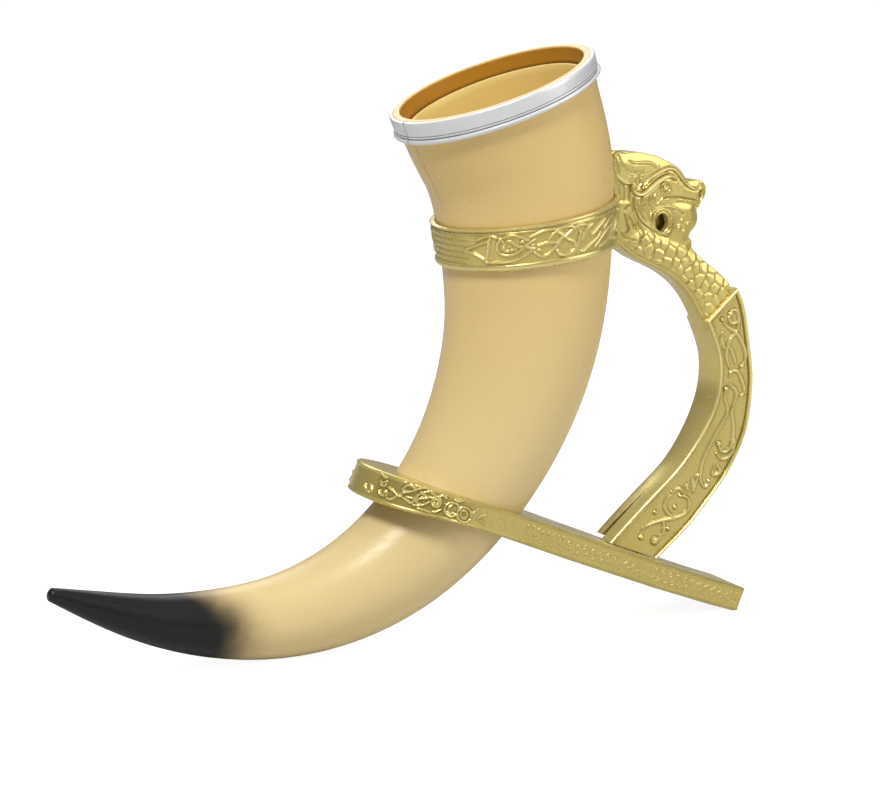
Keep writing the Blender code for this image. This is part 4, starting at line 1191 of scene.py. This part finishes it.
def handle_half(name, side, cad):
    v2, tri = PLAN
    n = len(v2)
    x, z = v2.T
    dg, dh = sdf(x, z, GRIP), sdf(x, z, HEAD)
    dhole = (in_hole(x, z) - 1) * min(HOLE_A, HOLE_B)
    d = np.clip(np.minimum(np.maximum(dg, dh), dhole), 0, None)
    in_grip = dg > -0.02
    y, rel = np.where(in_grip, grip_surface(x, z), head_surface(x, z, d))
    # the moulding is a thin wall round the jaw hole
    pocket = step(-np.hypot(x - HOLE_X, z - HOLE_Z), -8.6, -8.0) * (dh > 1.4)
    y0 = pocket * np.maximum(y - 1.8, 0.0)
    ed = np.sort(np.concatenate([tri[:, [0, 1]], tri[:, [1, 2]], tri[:, [2, 0]]]), 1)
    uq, cnt = np.unique(ed, axis=0, return_counts=True)
    # walls at the collar follow its round
    at_collar = np.abs(x - np.interp(z, *collar_edge().T[::-1])) < 0.02
    big = R_COL + COLLAR_BEAD
    back = np.where(at_collar, big - np.sqrt(big ** 2 - y ** 2), 0.0)
    top = np.stack([x - back, side * y, z], -1)
    inner_d, _ = seg_dist(x, z, smooth(GRIP_IN, 90))
    if side > 0:
        y0 = y0 + WEDGE_W * unit((52.0 - z) / 15.0) * step(-inner_d, -5.0, -3.0) * in_grip
    v = np.concatenate([top, np.stack([x, side * y0, z], -1)])
    if side > 0:
        # its foot stops a little above the plate on the inner side
        over = over_plate(x, z) - FIT
        up = np.clip(FOOT_GAP * (1 - over / 9.0), 0, FOOT_GAP)
        up = up * step(-inner_d, -6.0, -3.0) * in_grip
        v += np.tile(up, 2)[:, None] * (0.735, 0.0, 0.677)
    faces = tri.tolist() + (tri[:, ::-1] + n).tolist()
    faces += [(a, b, n + b, n + a) for a, b in uq[cnt == 1].tolist()]
    # walls and backs get a lighter tone, painted light
    tone = np.concatenate([unit(rel), np.full(n, WALL_LIT_TONE)])
    ob = make(name, v, faces, GOLD_H, cad, tone, sharp=50.0)


handle_half("handle_left_fine", -1, "handle_left")
handle_half("handle_right_fine", 1, "handle_right")


# Floor, light and camera
FLOOR_HALF, FLOOR_GREY, FLOOR_GLOW, GLOW_SHARE = 6.0, 0.66, 1.76, 0.52
SKY, ROOM_LOW, ROOM_HIGH = 1.05, 0.18, 0.37
LAMPS = {       # place, target, size, watts
    "key": ((-0.70, -0.50, 1.20), (0.0, 0.0, 0.12), 0.40, 13.2),
    "fill": ((0.75, -0.9, 0.55), (0.05, 0.0, 0.1), 0.8, 4.8),
    "back": ((0.3, 0.9, 0.8), (0.0, 0.0, 0.12), 0.7, 3.0),
    "top": ((0.05, -0.25, 1.35), (0.03, 0.0, 0.12), 0.9, 1.4),
}
# camera fitted to the photo: place, view and up, and focal length in pixels of the photo
CAM_AT, FOCAL_PX, PHOTO_W, SENSOR = (-0.34763, -0.61983, 0.22748), 1922.59, 880.0, 36.0
CAM_VIEW, CAM_UP = (0.48486914, 0.85487091, -0.18465548), (0.04654848, 0.18561067, 0.98152021)


def stage():
    s = FLOOR_HALF
    me = bpy.data.meshes.new("floor")
    me.from_pydata([(-s, -s, 0), (s, -s, 0), (s, s, 0), (-s, s, 0)], [], [(0, 1, 2, 3)])
    m = bpy.data.materials.new("floor_white")
    g = Graph(m)
    p = g.feed(g.nt.nodes["Principled BSDF"], {"Base Color": (FLOOR_GREY,) * 3, "Roughness": 0.9})
    glow = g.node("Emission", {"Strength": FLOOR_GLOW})
    seen = g.math("MULTIPLY", g.node("LightPath").outputs["Is Camera Ray"], GLOW_SHARE)
    both = g.node("MixShader", {0: seen, 1: p.outputs[0], 2: glow.outputs[0]})
    g.feed(g.nt.nodes["Material Output"], {"Surface": both.outputs[0]})
    me.materials.append(m)
    ob = link("floor", me)
    # world: white to the camera; to the object a dim room that is lighter overhead
    w = bpy.data.worlds.new("studio")
    bpy.context.scene.world = w
    g = Graph(w)
    xyz = g.node("SeparateXYZ", {0: g.node("TexCoord").outputs["Generated"]})
    room = g.ramp(xyz.outputs[2], 0.05, 0.75, ROOM_LOW, ROOM_HIGH)
    seen = g.math("MULTIPLY", g.node("LightPath").outputs["Is Camera Ray"], SKY)
    g.feed(g.nt.nodes["Background"],
           {"Color": (1, 1, 1), "Strength": g.math("MAXIMUM", seen, room)})


def lamp(name, loc, target, size, power):
    l = bpy.data.lights.new(name, "AREA")
    l.shape, l.size, l.energy = "DISK", size, power
    o = link(name, l)
    o.location = loc
    o.rotation_euler = (Vector(target) - Vector(loc)).to_track_quat("-Z", "Y").to_euler()


def camera():
    d, up = Vector(CAM_VIEW).normalized(), Vector(CAM_UP).normalized()
    m = Matrix((d.cross(up), up, -d)).transposed().to_4x4()
    m.translation = Vector((CAM_AT[0] + DX * MM, *CAM_AT[1:]))
    cam = bpy.data.cameras.new("camera")
    cam.sensor_width = SENSOR
    cam.lens = FOCAL_PX * SENSOR / PHOTO_W
    cam.clip_start = 0.01
    o = link("camera", cam)
    o.matrix_world = m
    bpy.context.scene.camera = o


stage()
for lamp_name, values in LAMPS.items():
    lamp(lamp_name, *values)
camera()
bpy.context.scene.view_settings.view_transform = "Standard"
